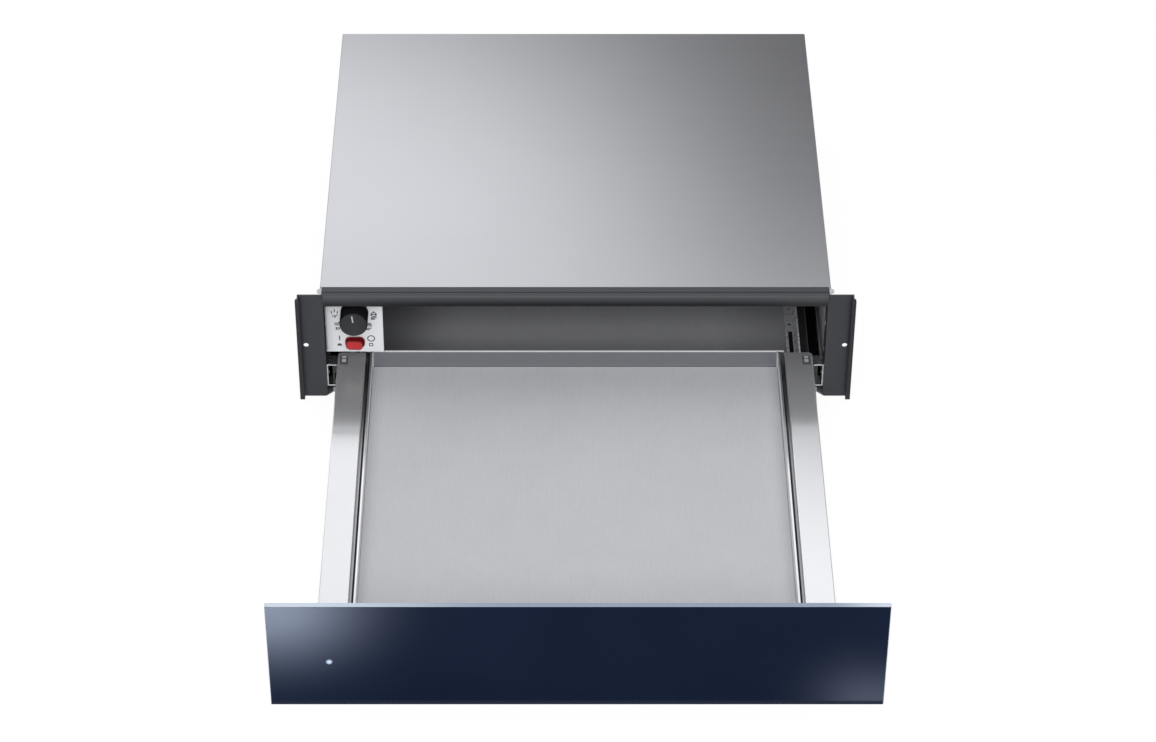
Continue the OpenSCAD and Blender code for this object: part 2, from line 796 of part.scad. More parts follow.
// Rivets through the feet of the brackets and through the fixed members
module runner_rivets() {
    head_r = 2.8;
    color("silver") {
        both_sides() for (y = bracket_rivet_y) {
            rod_z(foot_mid, y, rivet_r, 0, foot_z);
            translate([foot_mid, y, foot_z]) rotate([0, 90, 0]) dome(head_r, 1);
        }
        both_sides() for (y = rail_rivet_y) {
            rod_x(y, slide_z, rivet_r, bracket_x, slide_x + rail_t);
            translate([bracket_x, y, slide_z]) dome(head_r, 1);
        }
    }
}

// Zinc brackets that guide the side boxes just inside the flanges
module guide_brackets() {
    x0 = box_out + 0.9;
    x1 = flange_in;
    y0 = guide_y - guide_l / 2;
    y1 = guide_y + guide_l / 2;
    color("#c8c9cd") both_sides() difference() {
        block(x0, x1, y0, y1, guide_z0, guide_z1);
        block(x0 - 1, x1 - bracket_t, y0 - 1, y1 + 1, guide_z0 + guide_t, guide_z1 - guide_t);
        rod_x(guide_y, guide_rivet_z, rivet_r, x1 - bracket_t - 1, x1 + 1);
    }
}

// Sliding pads in the guide brackets, with a free middle for the rivet head
module guide_pads() {
    x0 = box_out + run;
    x1 = x0 + 5;
    y0 = guide_y - guide_l / 2 + 1;
    y1 = guide_y + guide_l / 2 - 1;
    z0 = guide_z0 + guide_t;
    z1 = guide_z1 - guide_t;
    color("#1d1d20") both_sides() difference() {
        union() {
            block(x0, x1, y0, y1, z1 - 10.8, z1);
            block(x0, x1, y0, y1, z0, z0 + 5.8);
            block(x1 - 2, x1, y0, y1, z0, z1);
        }
        rod_x(guide_y, guide_rivet_z, 4, x0 - 1, flange_in);
    }
}

// ---------- fan heater ----------

// Cover round the fan and the ring heater, with intake rings and outlet slots
module fan_cover() {
    hw = fan_cover_w / 2;
    corner = 12;
    slot_w = 2.2;
    color("#808186") difference() {
        union() {
            translate([0, 0, fan_cover_z]) linear_extrude(height = liner_z - shelf_t - fan_cover_z)
                difference() {
                    fan_plan(hw, corner);
                    fan_plan(hw - shelf_t, corner - shelf_t, shelf_t);
                }
            translate([0, 0, fan_cover_z]) linear_extrude(height = shelf_t) fan_plan(hw, corner);
        }
        // intake: rings of slots between four spokes
        along_y(fan_cover_y - 1, fan_cover_y + 4) translate([0, fan_z]) difference() {
            for (r = [8:5:23]) difference() {
                circle(r = r + slot_w / 2);
                circle(r = r - slot_w / 2);
            }
            for (a = [45, 135]) rotate(a) square([60, 3], center = true);
        }
        // outlets: upright slots on both sides
        both_sides() for (i = [0:9]) along_y(fan_cover_y - 1, fan_cover_y + 4)
            slot_2d(62 + i * 7.4, fan_z, 46, 1.6);
    }
}

// Plan of the fan cover, open at the back
module fan_plan(hw, corner, step = 0) {
    y0 = fan_cover_y + step;
    translate([-hw, y0 + corner]) square([2 * hw, back_y0 - y0 - corner]);
    translate([-hw + corner, y0]) square([2 * hw - 2 * corner, corner]);
    for (side = [-1, 1]) translate([side * (hw - corner), y0 + corner]) circle(r = corner);
}

// Tubular ring heater whose two ends run out through the back panel
module heater_ring() {
    open_angle = 2 * asin(leg_step / ring_r);
    color("#5a4a42") {
        translate([0, ring_y, fan_z]) rotate([90, 0, 0])
            rotate([0, 0, 180 + open_angle / 2]) rotate_extrude(angle = 360 - open_angle)
                translate([ring_r, 0]) circle(r = tube_r, $fn = 32);
        for (z = heater_leg_z) {
            translate([leg_x, ring_y, z]) sphere(r = tube_r + 0.3, $fn = 32);
            rod_y(leg_x, z, tube_r, ring_y, back_y1 + 4);
            rod_y(leg_x, z, 1.2, back_y1 + 4, back_y1 + 12);
        }
    }
}

// Wheel with forward-curved blades, its hub and its shaft with the rotor
module fan_wheel() {
    hub_r = 7;
    blade_r = 8;
    blade_t = 0.8;
    back = wheel_y + fan_d;
    color("#c3c5c9") {
        difference() {
            union() {
                rod_y(0, fan_z, fan_r, back - 1, back);
                rod_y(0, fan_z, hub_r, wheel_y + 2, back);
                difference() {
                    rod_y(0, fan_z, fan_r, wheel_y, wheel_y + 1);
                    rod_y(0, fan_z, fan_r - 8, wheel_y - 1, wheel_y + 2);
                }
                along_y(wheel_y + 0.5, back - 0.5) translate([0, fan_z]) intersection() {
                    for (i = [0:blade_count - 1]) rotate(i * 360 / blade_count)
                        translate([fan_r - 4, -blade_r]) difference() {
                            circle(r = blade_r);
                            circle(r = blade_r - blade_t);
                            translate([-2 * blade_r - 3, -2 * blade_r]) square([2 * blade_r, 4 * blade_r]);
                            translate([-2 * blade_r, -2 * blade_r]) square([4 * blade_r, 2 * blade_r]);
                        }
                    difference() {
                        circle(r = fan_r);
                        circle(r = fan_r - 8);
                    }
                }
            }
            rod_y(0, fan_z, fan_shaft_r, wheel_y, back + 1);
        }
        rod_y(0, fan_z, fan_shaft_r, wheel_y, stack_y + stack_t + 8);
    }
    color("#6a6a6e") difference() {
        rod_y(0, fan_z, rotor_r, stack_y + 1.5, stack_y + stack_t - 1.5);
        rod_y(0, fan_z, fan_shaft_r, stack_y, stack_y + stack_t);
    }
}

// Lamination stack with a bore for the rotor, a window for the coil and four bolt holes
module motor_stator() {
    hw = 27;
    low = 39;
    high = 17;
    foot_z = fan_z - 34;
    color("#55565a") along_y(stack_y, stack_y + stack_t) difference() {
        round_rect(-hw, hw, fan_z - low, fan_z + high, 2);
        translate([0, fan_z]) circle(r = rotor_r + 0.5);
        translate([-coil_hw - 0.2, fan_z - coil_drop - coil_hh - 0.2])
            square([2 * coil_hw + 0.4, 2 * coil_hh + 0.4]);
        for (x = [-motor_bolt_x, motor_bolt_x]) for (z = [foot_z, motor_bolt_z])
            translate([x, z]) circle(r = motor_bolt_r + fit);
    }
}

// Wound coil that stands out of both faces of the stack
module motor_coil() {
    color("#b5532a") along_y(stack_y - 4, stack_y + stack_t + 4)
        round_rect(-coil_hw, coil_hw, fan_z - coil_drop - coil_hh, fan_z - coil_drop + coil_hh, 2);
}

// Two bearing straps bolted across the stack
module motor_brackets() {
    boss_r = 5.5;
    strap_t = 2;
    hw = 26;
    color("#cfd0d4") for (y = [stack_y - strap_t, stack_y + stack_t]) difference() {
        union() {
            along_y(y, y + strap_t) round_rect(-hw, hw, fan_z - 5, fan_z + 17, 3);
            rod_y(0, fan_z, boss_r, y - 1, y + strap_t + 1);
        }
        rod_y(0, fan_z, fan_shaft_r + shaft_gap, y - 2, y + strap_t + 2);
    }
    color("#a7a8ac") for (x = [-motor_bolt_x, motor_bolt_x]) {
        rod_y(x, motor_bolt_z, motor_bolt_r, back_y1, stack_y - strap_t);
        rod_y(x, motor_bolt_z, motor_bolt_r, stack_y, stack_y + stack_t);
    }
}

// Cover over the motor and the terminals, with vents, ears and a hole for the gland
module motor_cover() {
    t = 1;
    y1 = back_y1 + motor_cover_d;
    ear = 9;
    corner = 6;
    hw = motor_cover_x;
    color("#a4a5aa") difference() {
        union() {
            along_y(back_y1, y1) round_rect(-hw, hw, motor_cover_z0, motor_cover_z1, corner);
            along_y(back_y1, back_y1 + t)
                round_rect(-hw - ear, hw + ear, motor_cover_z0 + 10, motor_cover_z1 - 10, corner / 2);
        }
        along_y(back_y1 - 1, y1 - t)
            round_rect(-hw + t, hw - t, motor_cover_z0 + t, motor_cover_z1 - t, corner - t);
        for (x = [-36:8:36]) along_y(y1 - 2, y1 + 1)
            slot_2d(x, (motor_cover_z0 + motor_cover_z1) / 2, 34, 1.6);
        rod_x(gland_y, gland_z, gland_out_r + fit, hw - 3, hw + 3);
        both_sides() for (z = [motor_cover_z0 + 18, motor_cover_z1 - 18])
            rod_y(hw + ear / 2, z, 1.8, back_y1 - 1, back_y1 + 2);
    }
}

// Round thermal cut-out on the back panel, with two tabs
module thermal_cutout() {
    z = fan_z + 10;
    body_t = 9;
    color("#d9d4c8") {
        rod_y(thermal_x, z, thermal_r, back_y1, back_y1 + body_t);
        for (tab_x = [thermal_x - 5.8, thermal_x + 2.8])
            block(tab_x, tab_x + tab_w, back_y1 + body_t, back_y1 + body_t + tab_l,
                  z - tab_t / 2, z + tab_t / 2);
    }
}

// Three-pole terminal block with two screw holes at each pole
module terminal_block() {
    pole = 9;
    h = 18;
    body_t = 12;
    color("#ece9df") difference() {
        block(terminal_x, terminal_x + 3 * pole, back_y1, back_y1 + body_t, terminal_z, terminal_z + h);
        for (i = [0:2]) for (z = [5, h - 5])
            rod_y(terminal_x + (i + 0.5) * pole, terminal_z + z, 2.4, back_y1 + 4, back_y1 + body_t + 1);
    }
}

// Cable gland with a collar on each side of the motor cover's wall
module cable_gland() {
    x0 = motor_cover_x - 5;
    x1 = motor_cover_x + 12;
    collar_r = gland_out_r + 2;
    color("#232326") difference() {
        union() {
            rod_x(gland_y, gland_z, gland_out_r, x0, x1);
            rod_x(gland_y, gland_z, collar_r, motor_cover_x, motor_cover_x + 3);
            rod_x(gland_y, gland_z, collar_r, x0, motor_cover_x - 1);
        }
        rod_x(gland_y, gland_z, gland_r, x0 - 1, x1 + 1);
    }
}

// ---------- push catch ----------

// Housing of the push catch, on a foot on the base pan
module latch_body() {
    hw = 14;
    foot_hw = 24;
    color("#e3e1da") difference() {
        union() {
            block(-hw, hw, latch_y, back_y0, wall_t, wall_t + 18.5);
            block(-foot_hw, foot_hw, latch_y + 4, back_y0, wall_t, wall_t + 2.5);
        }
        rod_y(0, latch_z, latch_r + shaft_gap, latch_y - 1, back_y0 - 4);
    }
}

// Plunger that the drawer base meets just before it closes
module latch_plunger() {
    color("#c0322c") rod_y(0, latch_z, latch_r, latch_y - 5.2, latch_y + 14);
}

// ---------- drawer front ----------

// Glass with a small bevel all round and a hole for the light window
module glass_front() {
    hw = front_w / 2;
    bevel = 0.8;
    cut = bevel * sqrt(2);
    y0 = glass_back - glass_t;
    color("#1a2334") pulled() difference() {
        block(-hw, hw, y0, glass_back, front_lift, front_z1);
        for (z = [front_lift, front_z1]) translate([0, y0, z]) rotate([45, 0, 0])
            cube([front_w + 2, cut, cut], center = true);
        for (x = [-hw, hw]) translate([x, y0, front_z1 / 2]) rotate([0, 0, 45])
            cube([cut, cut, front_z1 + 9], center = true);
        rod_y(window_x, window_z, window_r + fit / 2, y0 - 1, glass_back + 1);
    }
}

// Lens with a collar behind the glass
module light_window() {
    color("#aab6c4") pulled() {
        rod_y(window_x, window_z, window_r, glass_back - glass_t, glass_back);
        rod_y(window_x, window_z, window_r + 1.5, glass_back, glass_back + 1.5);
    }
}

// Outline of the drawer front's metal parts, cut away in front of the controls
module front_outline(inset) {
    difference() {
        round_rect(-carrier_hw + inset, carrier_hw - inset, carrier_z0 + inset, carrier_z1 - inset, 3);
        translate([-carrier_hw - 1, notch_z - inset])
            square([carrier_hw + 1 + notch_x + inset, case_h]);
    }
}

// Tape all round between the glass and the carrier
module bonding_tape() {
    color("#26262a") pulled() along_y(glass_back, carrier_y) difference() {
        front_outline(0);
        front_outline(9);
    }
}

// Pressed carrier of the glass, open at the back
module front_carrier() {
    t = 1;
    color("#9fa0a5") pulled() difference() {
        along_y(carrier_y, panel_y) front_outline(0);
        along_y(carrier_y + t, panel_y + 1) front_outline(t);
    }
}

// Panel that closes the carrier, which the side boxes are screwed to
module front_inner_panel() {
    color("#c4c5ca") pulled() difference() {
        along_y(panel_y, box_y0) front_outline(0);
        both_sides() for (z = front_screw_z)
            rod_y(box_screw_x, z, front_screw_r + fit, panel_y - 1, box_y0 + 1);
    }
}

// Angles that hold the side boxes to the inner panel, with their screws
module front_brackets() {
    t = 1.5;
    gap = box_t + fit;
    leg = 14;
    head_r = 3.6;
    color("#b7b8bc") pulled() both_sides() {
        difference() {
            union() {
                block(box_in + gap, box_out - gap, box_y0, box_y0 + t, box_z0 + 1, box_top - 2 * gap);
                block(box_in + gap, box_in + gap + t, box_y0, box_y0 + leg, box_z0 + 1, box_top - 2 * gap);
            }
            for (z = front_screw_z) rod_y(box_screw_x, z, front_screw_r + fit, panel_y, box_y0 + 2 * t);
        }
        for (z = front_screw_z) {
            rod_y(box_screw_x, z, front_screw_r, panel_y - 2, box_y0 + t);
            rod_y(box_screw_x, z, head_r, box_y0 + t, box_y0 + t + 2);
        }
    }
}

// ---------- drawer ----------

// Bent channel that hides a runner: open below and at the back
module side_box() {
    bend = 1.6;
    corner = 5;
    color("#d2d3d8") pulled() difference() {
        along_y(box_y0, box_y1) difference() {
            round_rect(box_in, box_out, box_z0, box_top, bend);
            round_rect(box_in + box_t, box_out - box_t, box_z0 - 6, box_top - box_t, bend - box_t);
            translate([box_in - 1, box_z0 - 1]) square([box_w + 2, 1 + bend]);
        }
        block(clip_x - clip_w / 2 - fit, clip_x + clip_w / 2 + fit, clip_y0 - fit, clip_y1 + fit,
              box_top - 3, box_top + 1);
        for (y = inner_screw_y) rod_x(y, slide_z, rivet_r, box_out - 3, box_out + 1);
        // round outer corner at the back
        translate([box_out - corner, box_y1 - corner, box_top - 4]) difference() {
            cube([corner + 1, corner + 1, 5]);
            translate([0, 0, -1]) cylinder(r = corner, h = 7);
        }
    }
}

// Clips pressed into the side boxes near their back ends
module box_clips() {
    tongue_w = 4.4;
    color("#1f2023") pulled() both_sides() {
        block(clip_x - clip_w / 2, clip_x + clip_w / 2, clip_y0, clip_y1, box_top - 2, box_top);
        along_x(clip_x - tongue_w / 2, clip_x + tongue_w / 2) translate([clip_y0 + 3.9, box_top]) {
            square([5, 0.6]);
            translate([7, 0]) square([2.4, 1]);
        }
    }
}

// Plate under the tray, turned up at both sides and screwed to the boxes
module drawer_base() {
    edge = 9;
    hole_r = 18;
    catch_hw = 20;
    first_hole = 110;
    step_x = 130;
    step_y = 115;
    x1 = box_in;
    color("#b0b1b6") pulled() difference() {
        union() {
            block(-x1, x1, base_y0, base_y1, base_z, base_z + base_t);
            both_sides() block(x1 - base_t, x1, base_y0, base_y1, base_z, base_z + edge);
            block(-x1, x1, base_y0, base_y0 + base_t, base_z, base_z + edge);
            block(-catch_hw, catch_hw, base_y1 - base_t, base_y1, base_z - 4.5, base_z + base_t);
        }
        for (ix = [-1:1]) for (iy = [0:2])
            rod_z(ix * step_x, base_y0 + first_hole + iy * step_y, hole_r, base_z - 1, base_z + base_t + 1);
    }
}

// Hat-section rails between the base and the tray
module tray_rails() {
    z0 = base_z + base_t;
    z1 = tray_z - tray_t;
    t = 0.8;
    crown = 7;
    brim = 9;
    inset = 14;
    rail_count = 4;
    first = rim_y0 + 52;
    step = (base_y1 - rim_y0 - 110) / (rail_count - 1);
    color("#a6a7ab") pulled() for (i = [0:rail_count - 1])
        along_x(-rim_x + inset, rim_x - inset) translate([first + i * step, 0]) {
            translate([-crown - brim, z0]) square([brim, t]);
            translate([crown, z0]) square([brim, t]);
            translate([-crown - t, z0]) square([t, z1 - z0]);
            translate([crown, z0]) square([t, z1 - z0]);
            translate([-crown - t, z1 - t]) square([2 * (crown + t), t]);
        }
}

// Pressed tray with a turned-out rim. The rear rim runs on to the side boxes
module tray() {
    wall_x = rim_x - rim_w + tray_t;
    wall_y0 = rim_y0 + rim_w - tray_t;
    wall_y1 = rim_y1 - rim_w + tray_t;
    floor_z = tray_z - tray_t;
    corner = 4;
    color("#c9cacf") pulled() difference() {
        union() {
            translate([0, 0, floor_z]) linear_extrude(height = box_top - floor_z)
                round_rect(-wall_x, wall_x, wall_y0, wall_y1, corner);
            translate([0, 0, box_top - tray_t]) linear_extrude(height = tray_t)
                round_rect(-rim_x, rim_x, rim_y0, rim_y1, corner + 1);
            block(-box_in + 2 * fit, box_in - 2 * fit, wall_y1 - tray_t, rim_y1, box_top - tray_t, box_top);
        }
        translate([0, 0, tray_z]) linear_extrude(height = box_top)
            round_rect(-wall_x + tray_t, wall_x - tray_t, wall_y0 + tray_t, wall_y1 - tray_t,
                       corner - tray_t);
    }
}

// Mat that fills the tray floor
module tray_mat() {
    gap = 0.5;
    wall_x = rim_x - rim_w;
    color("#b5b6bb") pulled() translate([0, 0, tray_z]) linear_extrude(height = mat_t)
        round_rect(-wall_x + gap, wall_x - gap, rim_y0 + rim_w + gap, rim_y1 - rim_w - gap, 3);
}

// ---------- knob and rocker ----------

// Knob with a rounded front edge, hollow at the back, on its shaft
module knob() {
    r = knob_d / 2;
    face_y = glass_back + 1;
    edge = 1;
    color("#26282c") difference() {
        translate([knob_x, face_y + knob_l, knob_z]) rotate([90, 0, 0]) rotate_extrude() {
            square([r, knob_l - edge]);
            square([r - edge, knob_l]);
            translate([r - edge, knob_l - edge]) circle(r = edge, $fn = 24);
        }
        rod_y(knob_x, knob_z, bush_r + 5, fascia_y - 4.5, fascia_y + 1);
        rotate_about(knob_x, knob_z, pointer_angle)
            block(knob_x - pointer_w / 2 - shaft_gap, knob_x + pointer_w / 2 + shaft_gap,
                  face_y - 1, face_y + pointer_t,
                  knob_z + pointer_z0 - shaft_gap, knob_z + pointer_z0 + pointer_l + shaft_gap);
    }
    color("#c9cacd") rod_y(knob_x, knob_z, shaft_r, fascia_y - 4.5, fascia_y + fascia_t + 13);
}

// Turns its children about an axis along Y
module rotate_about(x, z, angle) {
    translate([x, 0, z]) rotate([0, angle, 0]) translate([-x, 0, -z]) children();
}

// White mark let into the knob
module knob_pointer() {
    face_y = glass_back + 1;
    color("white") rotate_about(knob_x, knob_z, pointer_angle)
        block(knob_x - pointer_w / 2, knob_x + pointer_w / 2, face_y, face_y + pointer_t,
              knob_z + pointer_z0, knob_z + pointer_z0 + pointer_l);
}

// Rocker lying over to its left-hand side, on a pin of its own
module rocker() {
    front = fascia_y - rocker_out;
    pivot_y = fascia_y + rocker_pivot;
    bevel = 0.5;
    color("#c43430") translate([rocker_x, pivot_y, 0]) rotate([0, 0, -rocker_tilt])
        translate([-rocker_x, -pivot_y, 0]) {
            along_y(front, front + bevel) rocker_outline(-bevel);
            along_y(front + bevel, fascia_y + 5) rocker_outline(0);
            rod_z(rocker_x, pivot_y, pin_r, rocker_z - pin_l, rocker_z + pin_l);
        }
}

// ---------- the nodes ----------

base_pan();
handed("left") side_panel();  // side_panel_left
handed("right") side_panel();  // side_panel_right
top_cover();
back_panel();
cover_screws();
front_trim();
trim_seal();
handed("left") flange();  // flange_left
handed("right") flange();  // flange_right
handed("left") flange_seal();  // flange_seal_left
handed("right") flange_seal();  // flange_seal_right
flange_rivets();
ceiling_liner();
insulation_mat();
control_fascia();
control_housing();
selector_switch();
rocker_frame();
handed("left") runner_bracket();  // runner_bracket_left
handed("right") runner_bracket();  // runner_bracket_right
handed("left") runner_fixed();  // runner_fixed_left
handed("right") runner_fixed();  // runner_fixed_right
runner_rivets();
guide_brackets();
guide_pads();
fan_cover();
heater_ring();
motor_stator();
motor_coil();
motor_brackets();
motor_cover();
thermal_cutout();
terminal_block();
cable_gland();
latch_body();
glass_front();
bonding_tape();
light_window();
front_carrier();
front_inner_panel();
handed("left") side_box();  // side_box_left
handed("right") side_box();  // side_box_right
box_clips();
handed("left") runner_inner();  // runner_inner_left
handed("right") runner_inner();  // runner_inner_right
drawer_base();
tray_rails();
tray();
tray_mat();
front_brackets();
handed("left") runner_mid();  // runner_mid_left
handed("right") runner_mid();  // runner_mid_right
ball_cages_outer();
ball_cages_inner();
knob();
knob_pointer();
rocker();
fan_wheel();
latch_plunger();
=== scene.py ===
import math

import bmesh
import bpy
from mathutils import Matrix, Vector


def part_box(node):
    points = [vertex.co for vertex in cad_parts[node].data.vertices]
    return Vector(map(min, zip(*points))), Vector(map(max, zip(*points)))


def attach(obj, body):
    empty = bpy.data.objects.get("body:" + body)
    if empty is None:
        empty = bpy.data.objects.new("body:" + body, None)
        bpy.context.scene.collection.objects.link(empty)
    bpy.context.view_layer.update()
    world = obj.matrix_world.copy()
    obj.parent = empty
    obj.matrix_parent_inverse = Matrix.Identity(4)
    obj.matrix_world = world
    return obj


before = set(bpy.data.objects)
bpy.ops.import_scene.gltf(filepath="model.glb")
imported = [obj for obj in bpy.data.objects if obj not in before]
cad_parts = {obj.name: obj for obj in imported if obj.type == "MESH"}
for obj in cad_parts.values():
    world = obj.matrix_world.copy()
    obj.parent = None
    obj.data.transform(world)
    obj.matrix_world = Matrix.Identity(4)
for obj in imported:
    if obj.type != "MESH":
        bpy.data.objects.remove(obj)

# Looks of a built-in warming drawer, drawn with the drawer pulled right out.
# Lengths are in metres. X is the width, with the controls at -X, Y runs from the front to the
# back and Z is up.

MM = 0.001
scene = bpy.context.scene
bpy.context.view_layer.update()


# ---------------------------------------------------------------- camera

# Found from the straight edges of the photograph, 1156 pixels wide
SENSOR_WIDTH = 36.0
LENS = 105.21
CAMERA_PLACE = (-0.02068, -2.83467, 2.31772)
CAMERA_PITCH = math.radians(38.86)
CAMERA_SHIFT_X = 0.01901


def set_up_camera():
    data = bpy.data.cameras.new("camera")
    data.sensor_width = SENSOR_WIDTH
    data.lens = LENS
    data.shift_x = CAMERA_SHIFT_X
    camera = bpy.data.objects.new("camera", data)
    camera.location = CAMERA_PLACE
    camera.rotation_euler = (math.pi / 2 - CAMERA_PITCH, 0, 0)
    scene.collection.objects.link(camera)
    scene.camera = camera


set_up_camera()
scene.view_settings.view_transform = "Standard"


# ---------------------------------------------------------------- shader helpers


def tone(code):
    """A linear colour from a six-digit screen colour."""
    screen = [int(code[at:at + 2], 16) / 255 for at in (0, 2, 4)]
    return tuple(c / 12.92 if c <= 0.04045 else ((c + 0.055) / 1.055) ** 2.4 for c in screen)


def add(tree, kind, inputs=None, **settings):
    """A shader node with its settings, and with each input linked or set."""
    made = tree.nodes.new("ShaderNode" + kind)
    for name, value in settings.items():
        setattr(made, name, value)
    for name, value in (inputs or {}).items():
        if isinstance(value, bpy.types.NodeSocket):
            tree.links.new(value, made.inputs[name])
        else:
            made.inputs[name].default_value = value
    return made


def step(tree, operation, first, second=0.0):
    """The value of one arithmetic step."""
    return add(tree, "Math", {0: first, 1: second}, operation=operation).outputs[0]


def times(tree, first, *others):
    """A product of values."""
    for other in others:
        first = step(tree, "MULTIPLY", first, other)
    return first


def largest(tree, first, *others):
    """The largest of several values."""
    for other in others:
        first = step(tree, "MAXIMUM", first, other)
    return first


def vector_step(tree, operation, first, second=None, third=None):
    """The vector of one step of vector arithmetic."""
    inputs = {at: value for at, value in enumerate((first, second, third)) if value is not None}
    return add(tree, "VectorMath", inputs, operation=operation).outputs[0]


def distance(tree, place, centre):
    """How far a place is from a centre."""
    return add(tree, "VectorMath", {0: place, 1: centre}, operation="DISTANCE").outputs["Value"]


def place_on_piece(tree):
    return add(tree, "TexCoord").outputs["Object"]


def coordinates(tree):
    """The place on a piece as its x, y and z."""
    return add(tree, "SeparateXYZ", {0: place_on_piece(tree)}).outputs


def direction_faced(tree):
    """The surface's direction as its x, y and z."""
    return add(tree, "SeparateXYZ", {0: add(tree, "NewGeometry").outputs["Normal"]}).outputs


def noise(tree, place, scale, detail, **more):
    """Cloudy noise, first as a value from 0 to 1 and then as a colour."""
    inputs = {"Vector": place, "Scale": scale, "Detail": detail, **more}
    return add(tree, "TexNoise", inputs).outputs


def ramp(tree, value, low, high, to_low=0.0, to_high=1.0):
    """A value taken smoothly from one range to another."""
    ends = {"From Min": low, "From Max": high, "To Min": to_low, "To Max": to_high}
    made = add(tree, "MapRange", {"Value": value, **ends}, interpolation_type="SMOOTHSTEP")
    return made.outputs["Result"]


def mix_colours(tree, factor, first, second):
    made = add(tree, "Mix", {"Factor": factor}, data_type="RGBA")
    for socket, value in ((made.inputs[6], first), (made.inputs[7], second)):
        if isinstance(value, bpy.types.NodeSocket):
            tree.links.new(value, socket)
        else:
            socket.default_value = (*value, 1.0)
    return made.outputs[2]


def shade_colour(tree, colour, value):
    """A colour made lighter or darker by a value near 1."""
    return add(tree, "VectorMath", {0: colour, "Scale": value}, operation="SCALE").outputs[0]


def vary_colour(tree, colour, change):
    """A colour made lighter or darker by a change around 0."""
    return shade_colour(tree, colour, step(tree, "ADD", change, 1.0))


def start_group(name, inputs, outputs):
    """An empty shader group. inputs are (name, kind, value) and outputs are (name, kind)."""
    group = bpy.data.node_groups.new(name, "ShaderNodeTree")
    for title, kind, value in inputs:
        socket = group.interface.new_socket(title, in_out="INPUT", socket_type="NodeSocket" + kind)
        socket.default_value = value
    for title, kind in outputs:
        group.interface.new_socket(title, in_out="OUTPUT", socket_type="NodeSocket" + kind)
    given = group.nodes.new("NodeGroupInput").outputs
    return group, given, group.nodes.new("NodeGroupOutput").inputs


SURFACE_OUTPUTS = (("Colour", "Color"), ("Roughness", "Float"), ("Height", "Float"))


def make_brushing():
    """Fine parallel lines left by brushing or rolling, over a slow unevenness of the sheet."""
    inputs = (
        ("Colour", "Color", (0.6, 0.6, 0.6, 1.0)),
        ("Stretch", "Vector", (4.0, 1500.0, 1500.0)),
        ("Contrast", "Float", 0.1),
        ("Roughness", "Float", 0.3),
        ("Spread", "Float", 0.1),
    )
    tree, given, result = start_group("brushing", inputs, SURFACE_OUTPUTS)
    place = place_on_piece(tree)
    stretched = vector_step(tree, "MULTIPLY", place, given["Stretch"])
    lines = noise(tree, stretched, 1.0, 4.0, Roughness=0.7)[0]
    clouds = noise(tree, place, 7.0, 2.0)[0]
    swing = step(tree, "SUBTRACT", lines, 0.5)
    slow = times(tree, step(tree, "SUBTRACT", clouds, 0.5), 0.35)
    change = times(tree, step(tree, "ADD", swing, slow), given["Contrast"])
    tree.links.new(vary_colour(tree, given["Colour"], change), result["Colour"])
    spread = times(tree, swing, given["Spread"])
    tree.links.new(step(tree, "ADD", spread, given["Roughness"]), result["Roughness"])
    tree.links.new(lines, result["Height"])
    return tree


def make_moulding():
    """The fine grain of a powder coat, a rubber or a moulded plastic."""
    inputs = (
        ("Colour", "Color", (0.1, 0.1, 0.1, 1.0)),
        ("Grain", "Float", 2500.0),
        ("Contrast", "Float", 0.1),
        ("Roughness", "Float", 0.4),
        ("Spread", "Float", 0.1),
    )
    tree, given, result = start_group("moulding", inputs, SURFACE_OUTPUTS)
    place = place_on_piece(tree)
    fine = noise(tree, place, given["Grain"], 2.0)[0]
    slow = noise(tree, place, 22.0, 3.0)[0]
    both = step(tree, "SUBTRACT", step(tree, "ADD", fine, slow), 1.0)
    change = times(tree, both, given["Contrast"])
    tree.links.new(vary_colour(tree, given["Colour"], change), result["Colour"])
    spread = times(tree, step(tree, "SUBTRACT", slow, 0.5), given["Spread"])
    tree.links.new(step(tree, "ADD", spread, given["Roughness"]), result["Roughness"])
    tree.links.new(fine, result["Height"])
    return tree


def make_spangle():
    """The crystals of a zinc coat, each a little lighter or darker, under faint rolling lines."""
    inputs = (
        ("Colour", "Color", (0.5, 0.5, 0.5, 1.0)),
        ("Crystals", "Float", 180.0),
        ("Contrast", "Float", 0.12),
        ("Roughness", "Float", 0.35),
        ("Spread", "Float", 0.12),
    )
    tree, given, result = start_group("spangle", inputs, SURFACE_OUTPUTS)
    place = place_on_piece(tree)
    warp = noise(tree, place, 60.0, 2.0)[1]
    bent = vector_step(tree, "MULTIPLY_ADD", warp, (6 * MM, 6 * MM, 6 * MM), place)
    cells = add(tree, "TexVoronoi", {"Vector": bent, "Scale": given["Crystals"]}).outputs["Color"]
    crystal = add(tree, "SeparateColor", {0: cells}).outputs[0]
    swing = step(tree, "SUBTRACT", crystal, 0.5)
    change = times(tree, swing, given["Contrast"])
    tree.links.new(vary_colour(tree, given["Colour"], change), result["Colour"])
    spread = times(tree, swing, given["Spread"])
    tree.links.new(step(tree, "ADD", spread, given["Roughness"]), result["Roughness"])
    tree.links.new(crystal, result["Height"])
    return tree


def make_edge_wear():
    """A mask of the outer edges, where handling has polished the surface."""
    inputs = (("Reach", "Float", 0.6 * MM), ("Breaks", "Float", 260.0))
    tree, given, result = start_group("edge wear", inputs, (("Mask", "Float"),))
    rounded = add(tree, "Bevel", {"Radius": given["Reach"]}, samples=4).outputs[0]
    flat = add(tree, "NewGeometry").outputs["Normal"]
    along = add(tree, "VectorMath", {0: rounded, 1: flat}, operation="DOT_PRODUCT").outputs["Value"]
    edge = ramp(tree, along, 0.98, 0.8)
    patches = noise(tree, place_on_piece(tree), given["Breaks"], 3.0)[0]
    tree.links.new(times(tree, edge, ramp(tree, patches, 0.35, 0.6)), result["Mask"])
    return tree


